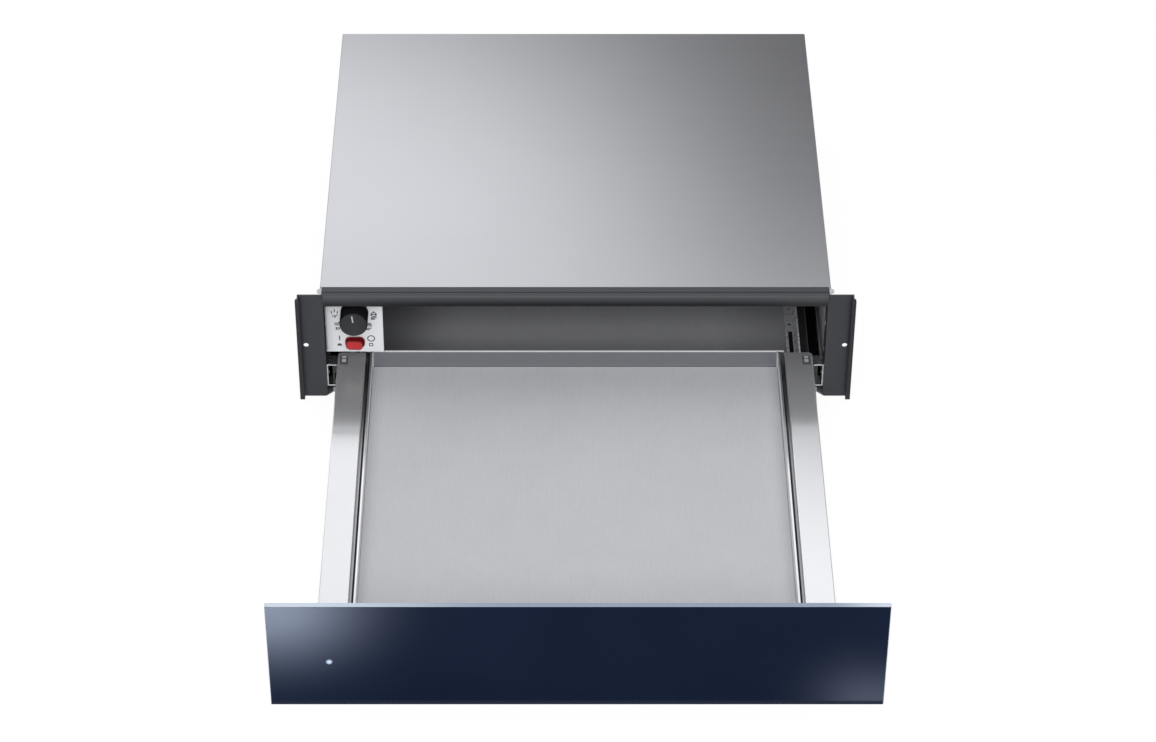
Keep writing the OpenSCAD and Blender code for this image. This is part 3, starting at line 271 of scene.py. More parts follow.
BRUSHING = make_brushing()
MOULDING = make_moulding()
SPANGLE = make_spangle()
EDGE_WEAR = make_edge_wear()


def use_group(tree, group, **values):
    """A group placed in a material with its own values. A colour is three numbers."""
    made = tree.nodes.new("ShaderNodeGroup")
    made.node_tree = group
    for name, value in values.items():
        socket = made.inputs[name]
        if isinstance(value, bpy.types.NodeSocket):
            tree.links.new(value, socket)
        elif socket.type == "RGBA":
            socket.default_value = (*value, 1.0)
        else:
            socket.default_value = value
    return made.outputs


def start_material(name, **constants):
    """A material with one shader, and the shader's constant values set on its own sockets."""
    material = bpy.data.materials.new(name)
    material.use_nodes = True
    tree = material.node_tree
    shader = tree.nodes["Principled BSDF"]
    for title, value in constants.items():
        shader.inputs[title.replace("_", " ")].default_value = value
    return material, tree, shader


def finish_surface(tree, shader, colour, roughness, height=None, bump=0.0, depth=0.0, edge=0.0):
    """Links what changes over the surface. bump is how strong the relief of a height is and edge
    how far the sheet's edges are rounded."""
    tree.links.new(colour, shader.inputs["Base Color"])
    tree.links.new(roughness, shader.inputs["Roughness"])
    if height is not None:
        inputs = {"Height": height, "Strength": bump, "Distance": depth}
        if edge:
            inputs["Normal"] = add(tree, "Bevel", {"Radius": edge}, samples=6).outputs[0]
        tree.links.new(add(tree, "Bump", inputs).outputs[0], shader.inputs["Normal"])


def facing_up(tree, low=0.4, high=0.8):
    """A mask of what faces upwards."""
    return ramp(tree, direction_faced(tree)[2], low, high)


def distance_across(tree):
    """How far a place is from the middle plane."""
    return step(tree, "ABSOLUTE", coordinates(tree)[0])


# ---------------------------------------------------------------- finishes

# Depth of a fine relief and of a grainy one
FINE = 0.1 * MM
GRAINY = 0.15 * MM
# Scale of the brushing noise along the lines and across them, per metre
LINE_ALONG = 5.0
LINE_ACROSS = 1700.0
ALONG_X = (LINE_ALONG, LINE_ACROSS, LINE_ACROSS)
ALONG_Y = (LINE_ACROSS, LINE_ALONG, LINE_ACROSS)


def brushed_metal(
    name, colour, stretch, roughness, contrast=0.12, spread=0.1, bump=0.06, metallic=1.0
):
    """Steel or aluminium sheet with fine lines along one axis."""
    material, tree, shader = start_material(name, Metallic=metallic)
    made = use_group(
        tree, BRUSHING, Colour=tone(colour), Stretch=stretch, Contrast=contrast,
        Roughness=roughness, Spread=spread,
    )
    finish_surface(tree, shader, made["Colour"], made["Roughness"], made["Height"], bump, FINE)
    return material


def zinc_metal(name, colour, roughness, crystals=180.0, contrast=0.16, metallic=0.85, edge=0.0):
    """Zinc-coated sheet steel with its edges polished bare. The coat scatters part of the light."""
    material, tree, shader = start_material(name, Metallic=metallic)
    made = use_group(
        tree, SPANGLE, Colour=tone(colour), Crystals=crystals, Contrast=contrast,
        Roughness=roughness,
    )
    worn = use_group(tree, EDGE_WEAR, Reach=0.4 * MM)["Mask"]
    bright = mix_colours(tree, times(tree, worn, 0.5), made["Colour"], tone("e4e5e8"))
    finish_surface(tree, shader, bright, made["Roughness"], made["Height"], 0.05, FINE, edge)
    return material


# Edges of the near-black painted shade on the casing's floor under and outside the runners
SHADE_BAND_SIDE = 233.6 * MM
SHADE_BAND_FRONT = 16 * MM
SHADE_BAND_BLUR = 0.2 * MM


def casing_steel(name):
    """Zinc-coated casing sheet. Its floor carries painted shade near the front, beside the control
    housing and towards the right side, and painted light further back. Under and outside the
    runners it carries a near-black painted shade."""
    material, tree, shader = start_material(name, Metallic=0.12)
    made = use_group(
        tree, SPANGLE, Colour=tone("bcbdc2"), Crystals=180.0, Contrast=0.05, Roughness=0.45
    )
    across, back, height = coordinates(tree)
    floor = times(tree, ramp(tree, height, 3 * MM, 1.5 * MM), facing_up(tree))
    beside = ramp(tree, distance_across(tree), SHADE_BAND_SIDE - SHADE_BAND_BLUR, SHADE_BAND_SIDE + SHADE_BAND_BLUR)
    behind = ramp(tree, back, SHADE_BAND_FRONT - 2 * MM, SHADE_BAND_FRONT + 2 * MM)
    # Painted shade on the floor near the front, beside the control housing and to the right;
    # painted light further back
    left = ramp(tree, across, -215 * MM, -120 * MM, 0.55, 1.0)
    right = ramp(tree, across, 150 * MM, 216 * MM, 1.0, 0.78)
    front = ramp(tree, back, 72 * MM, 125 * MM, 0.62, 1.14)
    dull = shade_colour(tree, made["Colour"], times(tree, front, left, right))
    with_floor_shade = mix_colours(tree, floor, made["Colour"], dull)
    # Painted shade: the floor near black under and outside the runners
    with_runner_shade = mix_colours(tree, times(tree, floor, beside, behind), with_floor_shade, tone("131316"))
    finish_surface(tree, shader, with_runner_shade, made["Roughness"], made["Height"], 0.05, FINE)
    return material


def moulded(
    name, colour, roughness, grain=2500.0, contrast=0.12, bump=0.12, spread=0.12, **constants
):
    """Paint, rubber or plastic with a fine grain."""
    material, tree, shader = start_material(name, **constants)
    made = use_group(
        tree, MOULDING, Colour=tone(colour), Grain=grain, Contrast=contrast,
        Roughness=roughness, Spread=spread,
    )
    finish_surface(tree, shader, made["Colour"], made["Roughness"], made["Height"], bump, GRAINY)
    return material


def powder_coat(name, colour, worn_colour, roughness, **constants):
    """Painted sheet metal that is a little lighter where its edges are rubbed, and has painted
    light that makes its upward faces lighter.
    """
    material, tree, shader = start_material(name, **constants)
    made = use_group(
        tree, MOULDING, Colour=tone(colour), Grain=1600.0, Contrast=0.14, Roughness=roughness
    )
    worn = use_group(tree, EDGE_WEAR, Reach=0.5 * MM)["Mask"]
    rubbed = mix_colours(tree, times(tree, worn, 0.35), made["Colour"], tone(worn_colour))
    # Painted light: upward faces up to 1.65 times lighter than the rest
    painted_top_light = shade_colour(tree, rubbed, ramp(tree, facing_up(tree), 0, 1, 1.0, 1.65))
    finish_surface(tree, shader, painted_top_light, made["Roughness"], made["Height"], 0.1, FINE)
    return material


# Width of the painted highlight along the tray's rim
RIM_HIGHLIGHT_WIDTH = 2.35 * MM
# Between these two places the painted highlight on the sides of the rim fades to a third
RIM_HIGHLIGHT_FROM, RIM_HIGHLIGHT_TO = -190 * MM, -140 * MM


def tray_steel(name):
    """Brushed sheet, dull on the rear wall and paler and less metallic on the side walls. The rim
    carries a painted highlight, weaker along the rear of its sides."""
    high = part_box("tray")[1]
    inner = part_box("tray_mat")[1].x
    material, tree, shader = start_material(name)
    made = use_group(
        tree, BRUSHING, Colour=tone("adaeb2"), Stretch=ALONG_X, Contrast=0.1,
        Roughness=0.24, Spread=0.1,
    )
    back, height = coordinates(tree)[1:]
    out = distance_across(tree)
    # Painted highlight: a pale, less metallic band along the top of the rim's sides and rear
    begins = ramp(tree, out, inner, inner + 0.3 * MM)
    ends = ramp(tree, out, inner + RIM_HIGHLIGHT_WIDTH + 0.15 * MM, inner + RIM_HIGHLIGHT_WIDTH - 0.15 * MM)
    side = times(tree, begins, ends, ramp(tree, back, RIM_HIGHLIGHT_FROM, RIM_HIGHLIGHT_TO, 1.0, 0.3))
    rear = ramp(tree, back, high.y - 2.5 * MM, high.y - 2.3 * MM)
    top = ramp(tree, height, high.z - 0.8 * MM, high.z - 0.6 * MM)
    wall = ramp(tree, step(tree, "ABSOLUTE", direction_faced(tree)[0]), 0.5, 0.8, 0.0, 0.8)
    highlight_and_pale_wall = largest(tree, times(tree, largest(tree, side, rear), top), wall)
    tree.links.new(ramp(tree, highlight_and_pale_wall, 0, 1, 1.0, 0.15), shader.inputs["Metallic"])
    with_highlight_and_pale_wall = mix_colours(tree, highlight_and_pale_wall, made["Colour"], tone("f6f7fa"))
    finish_surface(tree, shader, with_highlight_and_pale_wall, made["Roughness"], made["Height"], 0.06, FINE, 0.5 * MM)
    return material


def lip_rubber(name, colour):
    """The rubber profile under the trim, with painted shade darkening its lower lip."""
    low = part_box("trim_seal")[0].z
    material, tree, shader = start_material(name, Specular_IOR_Level=0.3)
    made = use_group(
        tree, MOULDING, Colour=tone(colour), Grain=2500.0, Contrast=0.12, Roughness=0.5
    )
    # Painted shade: darker towards the bottom of the lower lip
    lip = ramp(tree, coordinates(tree)[2], low + 3.5 * MM, low + 12.5 * MM, 0.12, 1.0)
    shaded = shade_colour(tree, made["Colour"], lip)
    finish_surface(tree, shader, shaded, made["Roughness"], made["Height"], 0.12, GRAINY)
    return material


# Height above which a painted shadow of the trim's rubber lip darkens the fascia
SHADOW_LINE_HEIGHT = 110.6 * MM


def fascia_paint(name):
    """Satin white paint, with a painted shadow along the top under the rubber lip."""
    material, tree, shader = start_material(name)
    made = use_group(
        tree, MOULDING, Colour=tone("f1f2f5"), Grain=1600.0, Contrast=0.05, Roughness=0.35
    )
    painted_shadow_mask = ramp(tree, coordinates(tree)[2], SHADOW_LINE_HEIGHT - 0.4 * MM, SHADOW_LINE_HEIGHT + 0.4 * MM)
    # Painted shadow: near black above the shadow line
    rubbed = mix_colours(tree, painted_shadow_mask, made["Colour"], tone("232327"))
    finish_surface(tree, shader, rubbed, made["Roughness"], made["Height"], 0.06, GRAINY)
    return material


def clip_plastic(name):
    """Black plastic with a painted highlight that greys its top and whitens its raised bars."""
    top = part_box("side_box_left")[1].z
    material, tree, shader = start_material(name)
    made = use_group(
        tree, MOULDING, Colour=tone("1b1b1d"), Grain=2500.0, Contrast=0.12, Roughness=0.4
    )
    height = coordinates(tree)[2]
    # Painted highlight: the top grey and the raised bars nearly white
    top_highlight = ramp(tree, height, top - 1 * MM, top - 0.5 * MM)
    raised = ramp(tree, height, top + 0.2 * MM, top + 0.5 * MM)
    grey = mix_colours(tree, top_highlight, made["Colour"], tone("55565b"))
    bars = mix_colours(tree, raised, grey, tone("b4b5ba"))
    finish_surface(tree, shader, bars, made["Roughness"], made["Height"], 0.12, GRAINY)
    return material


def fibre_mat(name, colour):
    """Mineral wool, with its fibres lying in the plane of the mat."""
    material, tree, shader = start_material(name, Sheen_Weight=0.2)
    place = place_on_piece(tree)
    bent = noise(tree, place, 40.0, 3.0)[1]
    fibres = vector_step(tree, "MULTIPLY", place, (60.0, 900.0, 900.0))
    curled = vector_step(tree, "MULTIPLY_ADD", bent, (9.0, 9.0, 9.0), fibres)
    strands = noise(tree, curled, 1.0, 5.0, Distortion=1.5)[0]
    shadowed = [part * 0.6 for part in tone(colour)]
    woolly = mix_colours(tree, ramp(tree, strands, 0.3, 0.7), shadowed, tone(colour))
    finish_surface(tree, shader, woolly, ramp(tree, strands, 0, 1, 0.85, 1.0), strands, 0.7, MM)
    return material


def striped(name, dark, light, pitch, roughness):
    """A stack of laminations or turns of wire, as bands from the front to the back."""
    material, tree, shader = start_material(name, Metallic=1.0)
    turn = times(tree, coordinates(tree)[1], 2 * math.pi / pitch)
    wave = ramp(tree, step(tree, "SINE", turn), -1, 1)
    banded = mix_colours(tree, wave, tone(dark), tone(light))
    dullness = ramp(tree, wave, 0, 1, roughness + 0.15, roughness)
    finish_surface(tree, shader, banded, dullness, wave, 0.6, pitch / 4)
    return material


def heated_steel(name):
    """A tubular heating element, oxidised dark with straw and blue tints."""
    material, tree, shader = start_material(name, Metallic=0.85)
    place = place_on_piece(tree)
    patches = noise(tree, place, 45.0, 3.0)[0]
    tinted = mix_colours(tree, ramp(tree, patches, 0.4, 0.65), tone("4c443c"), tone("3d424c"))
    grain = noise(tree, place, 1800.0, 2.0)[0]
    finish_surface(tree, shader, tinted, ramp(tree, grain, 0, 1, 0.35, 0.55), grain, 0.15, FINE)
    return material


# The polished rim of the glass, pale with a painted highlight, starts this far in and is full
# this far in
RIM_FROM, RIM_TO = 0.9 * MM, 0.3 * MM


def navy_glass(name):
    """Toughened glass painted navy on its back, with a polished rim that is pale with a painted
    highlight, brightest towards its two ends."""
    low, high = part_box("glass_front")
    material, tree, shader = start_material(name, IOR=1.5, Specular_IOR_Level=0.1)
    place = place_on_piece(tree)
    across, _, height = coordinates(tree)
    rim = largest(
        tree,
        ramp(tree, height, high.z - RIM_FROM, high.z - RIM_TO),
        ramp(tree, height, low.z + RIM_FROM, low.z + RIM_TO),
        ramp(tree, distance_across(tree), high.x - RIM_FROM, high.x - RIM_TO),
    )
    ripple = noise(tree, place, 9.0, 1.0)[0]
    deep = shade_colour(tree, tone("172034"), ramp(tree, ripple, 0.2, 0.8, 0.94, 1.06))
    # Painted highlight: the rim grows paler towards both ends of the glass
    left_highlight = ramp(tree, across, -60 * MM, -280 * MM)
    right_highlight = ramp(tree, across, 235 * MM, 295 * MM)
    polished = mix_colours(tree, largest(tree, left_highlight, right_highlight), tone("8f9cae"), tone("c8d2e0"))
    smeared = ramp(tree, noise(tree, place, 30.0, 4.0)[0], 0.3, 0.75, 0.16, 0.2)
    finish_surface(tree, shader, mix_colours(tree, rim, deep, polished), smeared)
    return material


def warm_lens(name):
    """The small window of the pilot lamp: a milky lens with a painted highlight that makes it
    brighter at its middle.
    """
    low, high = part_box("light_window")
    middle = (low + high) / 2
    material, tree, shader = start_material(name, Coat_Weight=0.6, Coat_Roughness=0.08)
    away = distance(tree, place_on_piece(tree), (middle.x, low.y, middle.z))
    # Painted highlight: paler towards the middle of the lens
    centre_highlight = ramp(tree, away, 2.6 * MM, 0.4 * MM)
    milky = mix_colours(tree, centre_highlight, tone("6f7c90"), tone("b9c6d6"))
    finish_surface(tree, shader, milky, ramp(tree, centre_highlight, 0, 1, 0.4, 0.25))
    return material


# Corner radius and half height of the rocker's face, as in the CAD
ROCKER_CORNER = 4.6 * MM
ROCKER_HALF_HEIGHT = 6.0 * MM


def rocker_rim_shade(tree):
    """A mask of the outer millimetres of the rocker's face, where painted shade darkens it."""
    low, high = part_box("rocker")
    middle = (low + high) / 2
    inner = (high.x - middle.x - ROCKER_CORNER, 0.0, ROCKER_HALF_HEIGHT - ROCKER_CORNER)
    place = vector_step(tree, "SUBTRACT", place_on_piece(tree), (middle.x, 0.0, middle.z))
    flat = vector_step(tree, "MULTIPLY", place, (1.0, 0.0, 1.0))
    beyond = vector_step(tree, "SUBTRACT", vector_step(tree, "ABSOLUTE", flat), inner)
    outside = vector_step(tree, "MAXIMUM", beyond, (0.0, 0.0, 0.0))
    away = add(tree, "VectorMath", {0: outside}, operation="LENGTH").outputs["Value"]
    return ramp(tree, away, ROCKER_CORNER - 1.9 * MM, ROCKER_CORNER - 1.1 * MM)


# How dyed plastic shines, and how light goes a little way into it
DYED = {"Coat_Roughness": 0.1, "Subsurface_Scale": 2 * MM, "Subsurface_Radius": (1.0, 0.15, 0.1)}


def rocker_red(name):
    """Glossy dyed plastic, bright on the face, with painted shade on the top and round the
    face's rim.
    """
    material, tree, shader = start_material(
        name, Coat_Weight=0.1, Specular_IOR_Level=0.2, Subsurface_Weight=0.1, **DYED
    )
    swirl = noise(tree, place_on_piece(tree), 120.0, 3.0)[0]
    face = mix_colours(tree, ramp(tree, swirl, 0.3, 0.7), tone("c5191c"), tone("b51518"))
    # Painted shade: the upward top and the rim of the face deep red
    dark = largest(tree, rocker_rim_shade(tree), facing_up(tree, 0.3, 0.7))
    with_rocker_shade = mix_colours(tree, dark, face, tone("7c080d"))
    finish_surface(tree, shader, with_rocker_shade, ramp(tree, swirl, 0, 1, 0.25, 0.35), swirl, 0.02, FINE)
    return material


def clear_red(name, colour, deep):
    """Glossy dyed plastic that lets light a little way in, darker where it is thick."""
    material, tree, shader = start_material(
        name, Coat_Weight=0.15, Specular_IOR_Level=0.3, Subsurface_Weight=0.2, **DYED
    )
    swirl = noise(tree, place_on_piece(tree), 120.0, 3.0)[0]
    swirled = mix_colours(tree, ramp(tree, swirl, 0.3, 0.7), tone(colour), tone(deep))
    finish_surface(tree, shader, swirled, ramp(tree, swirl, 0, 1, 0.2, 0.3), swirl, 0.02, FINE)
    return material


# Distance between the rings that turning left on the knob's mould
RING_PITCH = 0.7 * MM


def turned_knob(name, colour):
    """Black plastic with faint rings on its face from the turned mould."""
    low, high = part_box("knob")
    middle = (low + high) / 2
    material, tree, shader = start_material(name, Specular_IOR_Level=0.3)
    made = use_group(
        tree, MOULDING, Colour=tone(colour), Grain=1800.0, Contrast=0.1, Roughness=0.42
    )
    around = vector_step(tree, "MULTIPLY", place_on_piece(tree), (1.0, 0.0, 1.0))
    away = distance(tree, around, (middle.x, 0.0, middle.z))
    rings = step(tree, "SINE", times(tree, away, 2 * math.pi / RING_PITCH))
    height = step(tree, "ADD", times(tree, rings, 0.4), made["Height"])
    finish_surface(tree, shader, made["Colour"], made["Roughness"], height, 0.12, FINE)
    return material


def studded_silicone(name, colour):
    """Pale silicone, matt, with dust-fine grain and a slow unevenness."""
    material, tree, shader = start_material(name, Sheen_Weight=0.1)
    made = use_group(
        tree, MOULDING, Colour=tone(colour), Grain=1400.0, Contrast=0.08, Roughness=0.6, Spread=0.15
    )
    finish_surface(tree, shader, made["Colour"], made["Roughness"], made["Height"], 0.1, 0.2 * MM)
    return material


# The finish of every material slot
FINISHES = {
    "cover_steel": lambda name: brushed_metal(name, "c9cacf", ALONG_X, roughness=0.3),
    "casing_steel": casing_steel,
    "graphite_paint": lambda name: powder_coat(
        name, "34353a", "6c6d72", roughness=0.42, Specular_IOR_Level=0.3
    ),
    "seal_rubber": lambda name: lip_rubber(name, "444549"),
    "edge_rubber": lambda name: moulded(name, "2b2c30", roughness=0.65, Specular_IOR_Level=0.25),
    "liner_steel": lambda name: powder_coat(name, "595a5f", "8a8b8f", roughness=0.5),
    "insulation": lambda name: fibre_mat(name, "d8d0b8"),
    "fascia_paint": fascia_paint,
    "switch_plastic": lambda name: moulded(name, "e3ddd0", roughness=0.4),
    "rocker_red": rocker_red,
    "frame_red": lambda name: clear_red(name, "8a1214", "6a0c0e"),
    "bracket_zinc": lambda name: zinc_metal(
        name, "dcdde1", roughness=0.3, crystals=260.0, contrast=0.06, metallic=0.3
    ),
    "runner_steel": lambda name: brushed_metal(
        name, "c6c7ca", ALONG_Y, roughness=0.26, contrast=0.15
    ),
    "ball_steel": lambda name: brushed_metal(
        name, "d6d7da", ALONG_Y, roughness=0.12, contrast=0.05
    ),
    "black_plastic": lambda name: moulded(name, "1b1b1d", roughness=0.4),
    "heater_steel": heated_steel,
    "lamination_steel": lambda name: striped(
        name, "3f4043", "8b8c90", pitch=0.7 * MM, roughness=0.45
    ),
    "copper_winding": lambda name: striped(
        name, "5a2413", "c8703c", pitch=0.5 * MM, roughness=0.3
    ),
    "motor_aluminium": lambda name: moulded(
        name, "b4b5b8", roughness=0.45, grain=900.0, contrast=0.15, bump=0.3, Metallic=1.0
    ),
    "ceramic": lambda name: moulded(name, "e9e4d8", roughness=0.35, grain=1200.0),
    "navy_glass": navy_glass,
    "bond_black": lambda name: moulded(name, "141416", roughness=0.6),
    "window_lens": warm_lens,
    "front_steel": lambda name: zinc_metal(name, "bcbdc1", roughness=0.32),
    "box_steel": lambda name: brushed_metal(
        name, "f0f1f5", ALONG_Y, roughness=0.2, contrast=0.05, spread=0.05, bump=0.03, metallic=0.78
    ),
    "tray_steel": tray_steel,
    "mat_silicone": lambda name: studded_silicone(name, "bbbcc0"),
    "knob_black": lambda name: turned_knob(name, "17181b"),
    "pointer_white": lambda name: moulded(name, "bdb8be", roughness=0.4),
    "fan_aluminium": lambda name: brushed_metal(name, "cdced1", ALONG_Y, roughness=0.3),
    "latch_plastic": lambda name: moulded(name, "2a2b2e", roughness=0.45),
    "plunger_red": lambda name: moulded(name, "b3261f", roughness=0.35),
}

MATERIALS = {slot: make(slot.replace("_", " ")) for slot, make in FINISHES.items()}


def dress_cad_pieces():
    """Every CAD piece gets the finish of its own material slot."""
    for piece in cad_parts.values():
        for place in piece.material_slots:
            place.material = MATERIALS[place.material.name.split(".")[0]]


dress_cad_pieces()

GUIDE_STEEL = zinc_metal(
    "guide steel", "c6c7cb", roughness=0.25, crystals=260.0, contrast=0.08, metallic=0.95,
    edge=0.7 * MM,
)
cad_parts["box_clips"].material_slots[0].material = clip_plastic("clip plastic")
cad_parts["guide_brackets"].material_slots[0].material = GUIDE_STEEL

# The polished side boxes keep a plain grey reflection beside the controls
for title in ("control_fascia", "rocker", "rocker_frame", "knob", "knob_pointer"):
    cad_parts[title].visible_glossy = False


# ---------------------------------------------------------------- making pieces


def make_piece(name, mesh, body, slot, material=None):
    """A finished piece at the origin that rides on a body. It has a material slot's finish, or a
    material of its own."""
    piece = bpy.data.objects.new(name, mesh)
    scene.collection.objects.link(piece)
    mesh.materials.clear()
    mesh.materials.append(material or MATERIALS[slot])
    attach(piece, body)
    return piece


def to_mesh(bm, name):
    """A mesh with all its faces turned outwards."""
    bmesh.ops.recalc_face_normals(bm, faces=bm.faces)
    mesh = bpy.data.meshes.new(name)
    bm.to_mesh(mesh)
    bm.free()
    return mesh


# ---------------------------------------------------------------- studs of the mat

# Spacing, half width and height of a stud, the bare margin round them and their sink in the mat
STUD_PITCH = 3.0 * MM
STUD_HALF = 1.15 * MM
STUD_HEIGHT = 0.45 * MM
STUD_MARGIN = 2.0 * MM
STUD_SINK = 0.02 * MM
# Corners closer than this become one
WELD = 0.01 * MM


def make_mat_studs():
    """Rows of low four-sided studs over the mat, one mesh repeated in both directions."""
    low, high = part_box("tray_mat")
    size = high - low
    columns = int((size.x - 2 * STUD_MARGIN) / STUD_PITCH)
    rows = int((size.y - 2 * STUD_MARGIN) / STUD_PITCH)
    first_x = (low.x + high.x - (columns - 1) * STUD_PITCH) / 2
    first_y = (low.y + high.y - (rows - 1) * STUD_PITCH) / 2
    bm = bmesh.new()
    bmesh.ops.create_cone(
        bm, segments=4, radius1=STUD_HALF * math.sqrt(2), radius2=0.0, depth=STUD_HEIGHT,
        cap_ends=False,
    )
    bmesh.ops.rotate(bm, verts=bm.verts, matrix=Matrix.Rotation(math.pi / 4, 3, "Z"))
    bmesh.ops.remove_doubles(bm, verts=bm.verts, dist=WELD)
    middle_z = high.z - STUD_SINK + STUD_HEIGHT / 2
    bmesh.ops.translate(bm, verts=bm.verts, vec=(first_x, first_y, middle_z))
    studs = make_piece("mat_studs", to_mesh(bm, "mat_studs"), "drawer", "mat_silicone")
    along, back = (STUD_PITCH, 0, 0), (0, STUD_PITCH, 0)
    for title, count, shift in (("row", columns, along), ("rows", rows, back)):
        repeat = studs.modifiers.new(title, "ARRAY")
        repeat.count = count
        repeat.use_relative_offset = False
        repeat.use_constant_offset = True
        repeat.constant_offset_displace = shift


make_mat_studs()


# ---------------------------------------------------------------- hems of the side boxes

# Gap between box and hem, thickness and depth of its sheet, and its drop below the box's top
HEM_GAP = 1.5 * MM
HEM_SHEET = 0.5 * MM
HEM_DEPTH = 6.0 * MM
HEM_SINK = 0.5 * MM
# The hem stops this far short of each end of its box
HEM_END = 1.0 * MM


def make_box_hems():
    """A folded strip along the inner side of each side box, standing a little off it."""
    dull = brushed_metal("hem steel", "b4b5b9", ALONG_Y, roughness=0.3, contrast=0.08)
    bm = bmesh.new()
    for title, side in (("side_box_left", 1), ("side_box_right", -1)):
        low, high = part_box(title)
        inner = high.x if side > 0 else low.x
        reach = side * (HEM_GAP + HEM_SHEET / 2)
        middle_y = (low.y + high.y) / 2
        middle_z = high.z - HEM_SINK - HEM_DEPTH / 2
        length = high.y - low.y - 2 * HEM_END
        upright = bmesh.ops.create_grid(bm, x_segments=1, y_segments=1, size=0.5)["verts"]
        bmesh.ops.rotate(bm, verts=upright, matrix=Matrix.Rotation(math.pi / 2, 3, "Y"))
        bmesh.ops.scale(bm, verts=upright, vec=(1, length, HEM_DEPTH))
        bmesh.ops.translate(bm, verts=upright, vec=(inner + reach, middle_y, middle_z))
        lower = [vert for vert in upright if vert.co.z < middle_z]
        foot = [edge for edge in bm.edges if all(vert in lower for vert in edge.verts)]
        pushed = bmesh.ops.extrude_edge_only(bm, edges=foot)["geom"]
        corners = [part for part in pushed if isinstance(part, bmesh.types.BMVert)]
        bmesh.ops.translate(bm, verts=corners, vec=(-reach, 0, 0))
    bmesh.ops.recalc_face_normals(bm, faces=bm.faces)
    bmesh.ops.solidify(bm, geom=bm.faces[:], thickness=HEM_SHEET)
    make_piece("box_hems", to_mesh(bm, "box_hems"), "drawer", "box_steel", dull)


make_box_hems()


# ---------------------------------------------------------------- symbols on the fascia

# Thickness of the print and how much of it is in the fascia
INK_THICKNESS = 0.12 * MM
INK_SINK = 0.02 * MM
FASCIA_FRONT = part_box("control_fascia")[0].y
# Width of a printed line
LINE = 1.05 * MM
# Number of straight sides in a half circle and in a whole one
DOME_STEPS = 12
RING_STEPS = 24
# Low and high end of each stroke of the steam, as x, z, x, z in millimetres
STEAM_STROKES = ((-2.8, 0.9, -3.4, 3.6), (0, 2.9, 0, 5.8), (2.8, 0.9, 3.4, 3.6))


def ink_bar(bm, start, end, width=LINE):
    """A straight stroke between two (x, z) places."""
    run = Vector((end[0] - start[0], 0, end[1] - start[1]))
    middle = Vector(((start[0] + end[0]) / 2, 0, (start[1] + end[1]) / 2))
    turn = Matrix.Rotation(-math.atan2(run.z, run.x), 4, "Y")
    size = Matrix.Diagonal((run.length + width, INK_THICKNESS, width, 1))
    bmesh.ops.create_cube(bm, size=1.0, matrix=Matrix.Translation(middle) @ turn @ size)


def ink_ring(bm, centre, radius):
    """A whole ring about an (x, z) place."""
    inner, outer = radius - LINE / 2, radius + LINE / 2
    low, high = -INK_THICKNESS / 2, INK_THICKNESS / 2
    places = ((inner, low), (outer, low), (outer, high), (inner, high))
    section = bm.faces.new([bm.verts.new((centre[0] + x, y, centre[1])) for x, y in places])
    bmesh.ops.spin(
        bm, geom=[section], cent=(centre[0], 0, centre[1]), axis=(0, -1, 0), angle=math.tau,
        steps=RING_STEPS, use_merge=True,
    )
    bmesh.ops.delete(bm, geom=[section], context="FACES_ONLY")


def ink_half_disc(bm, centre, radius):
    """A filled dome over an (x, z) place."""
    rim = []
    for turn in range(DOME_STEPS + 1):
        angle = math.pi * turn / DOME_STEPS
        x, z = centre[0] + radius * math.cos(angle), centre[1] + radius * math.sin(angle)
        rim.append(bm.verts.new((x, -INK_THICKNESS / 2, z)))
    pushed = bmesh.ops.extrude_face_region(bm, geom=[bm.faces.new(rim)])
    moved = [part for part in pushed["geom"] if isinstance(part, bmesh.types.BMVert)]
    bmesh.ops.translate(bm, verts=moved, vec=(0, INK_THICKNESS, 0))


def draw_steam(bm, x, z):
    """Three strokes that fan out, for gentle heat."""
    for low_x, low_z, high_x, high_z in STEAM_STROKES:
        start = (x + low_x * MM, z + low_z * MM)
        ink_bar(bm, start, (x + high_x * MM, z + high_z * MM), 1.0 * MM)


def draw_dome(bm, x, z):
    """A domed cover on a round dish, for serving plates."""
    ink_ring(bm, (x, z + 0.8 * MM), 2.7 * MM)
    ink_bar(bm, (x - 2.6 * MM, z + 0.8 * MM), (x + 2.6 * MM, z + 0.8 * MM))
    ink_bar(bm, (x, z + 4.2 * MM), (x, z + 4.6 * MM), 1.3 * MM)


def draw_bowls(bm, x, z):
    """Two low bowls, one in the other."""
    for lift in (0.0, 2.3 * MM):
        ink_bar(bm, (x - 2.6 * MM, z + lift), (x + 2.6 * MM, z + lift))
    ink_bar(bm, (x + 2.6 * MM, z + 2.3 * MM), (x + 1.6 * MM, z + 4.0 * MM))


def draw_stack(bm, x, z):
    """A stack of plates, seen from the side."""
    for plate in range(3):
        half = (3.6 - 0.5 * plate) * MM
        lift = 1.7 * MM * plate
        ink_bar(bm, (x - half, z + lift), (x + half, z + lift))


def draw_lamp(bm, x, z):
    """A lit lamp: a filled dome on its base line."""
    ink_half_disc(bm, (x, z), 2.3 * MM)
    ink_bar(bm, (x - 2.4 * MM, z - 0.9 * MM), (x + 2.4 * MM, z - 0.9 * MM), 0.6 * MM)


def draw_empty_square(bm, x, z):
    """An unlit lamp: four strokes round an empty middle."""
    half = 1.7 * MM
    for side in (-1, 1):
        ink_bar(bm, (x - half, z + side * half), (x + half, z + side * half), 0.9 * MM)
        ink_bar(bm, (x + side * half, z - half * 0.5), (x + side * half, z + half * 0.5), 0.9 * MM)


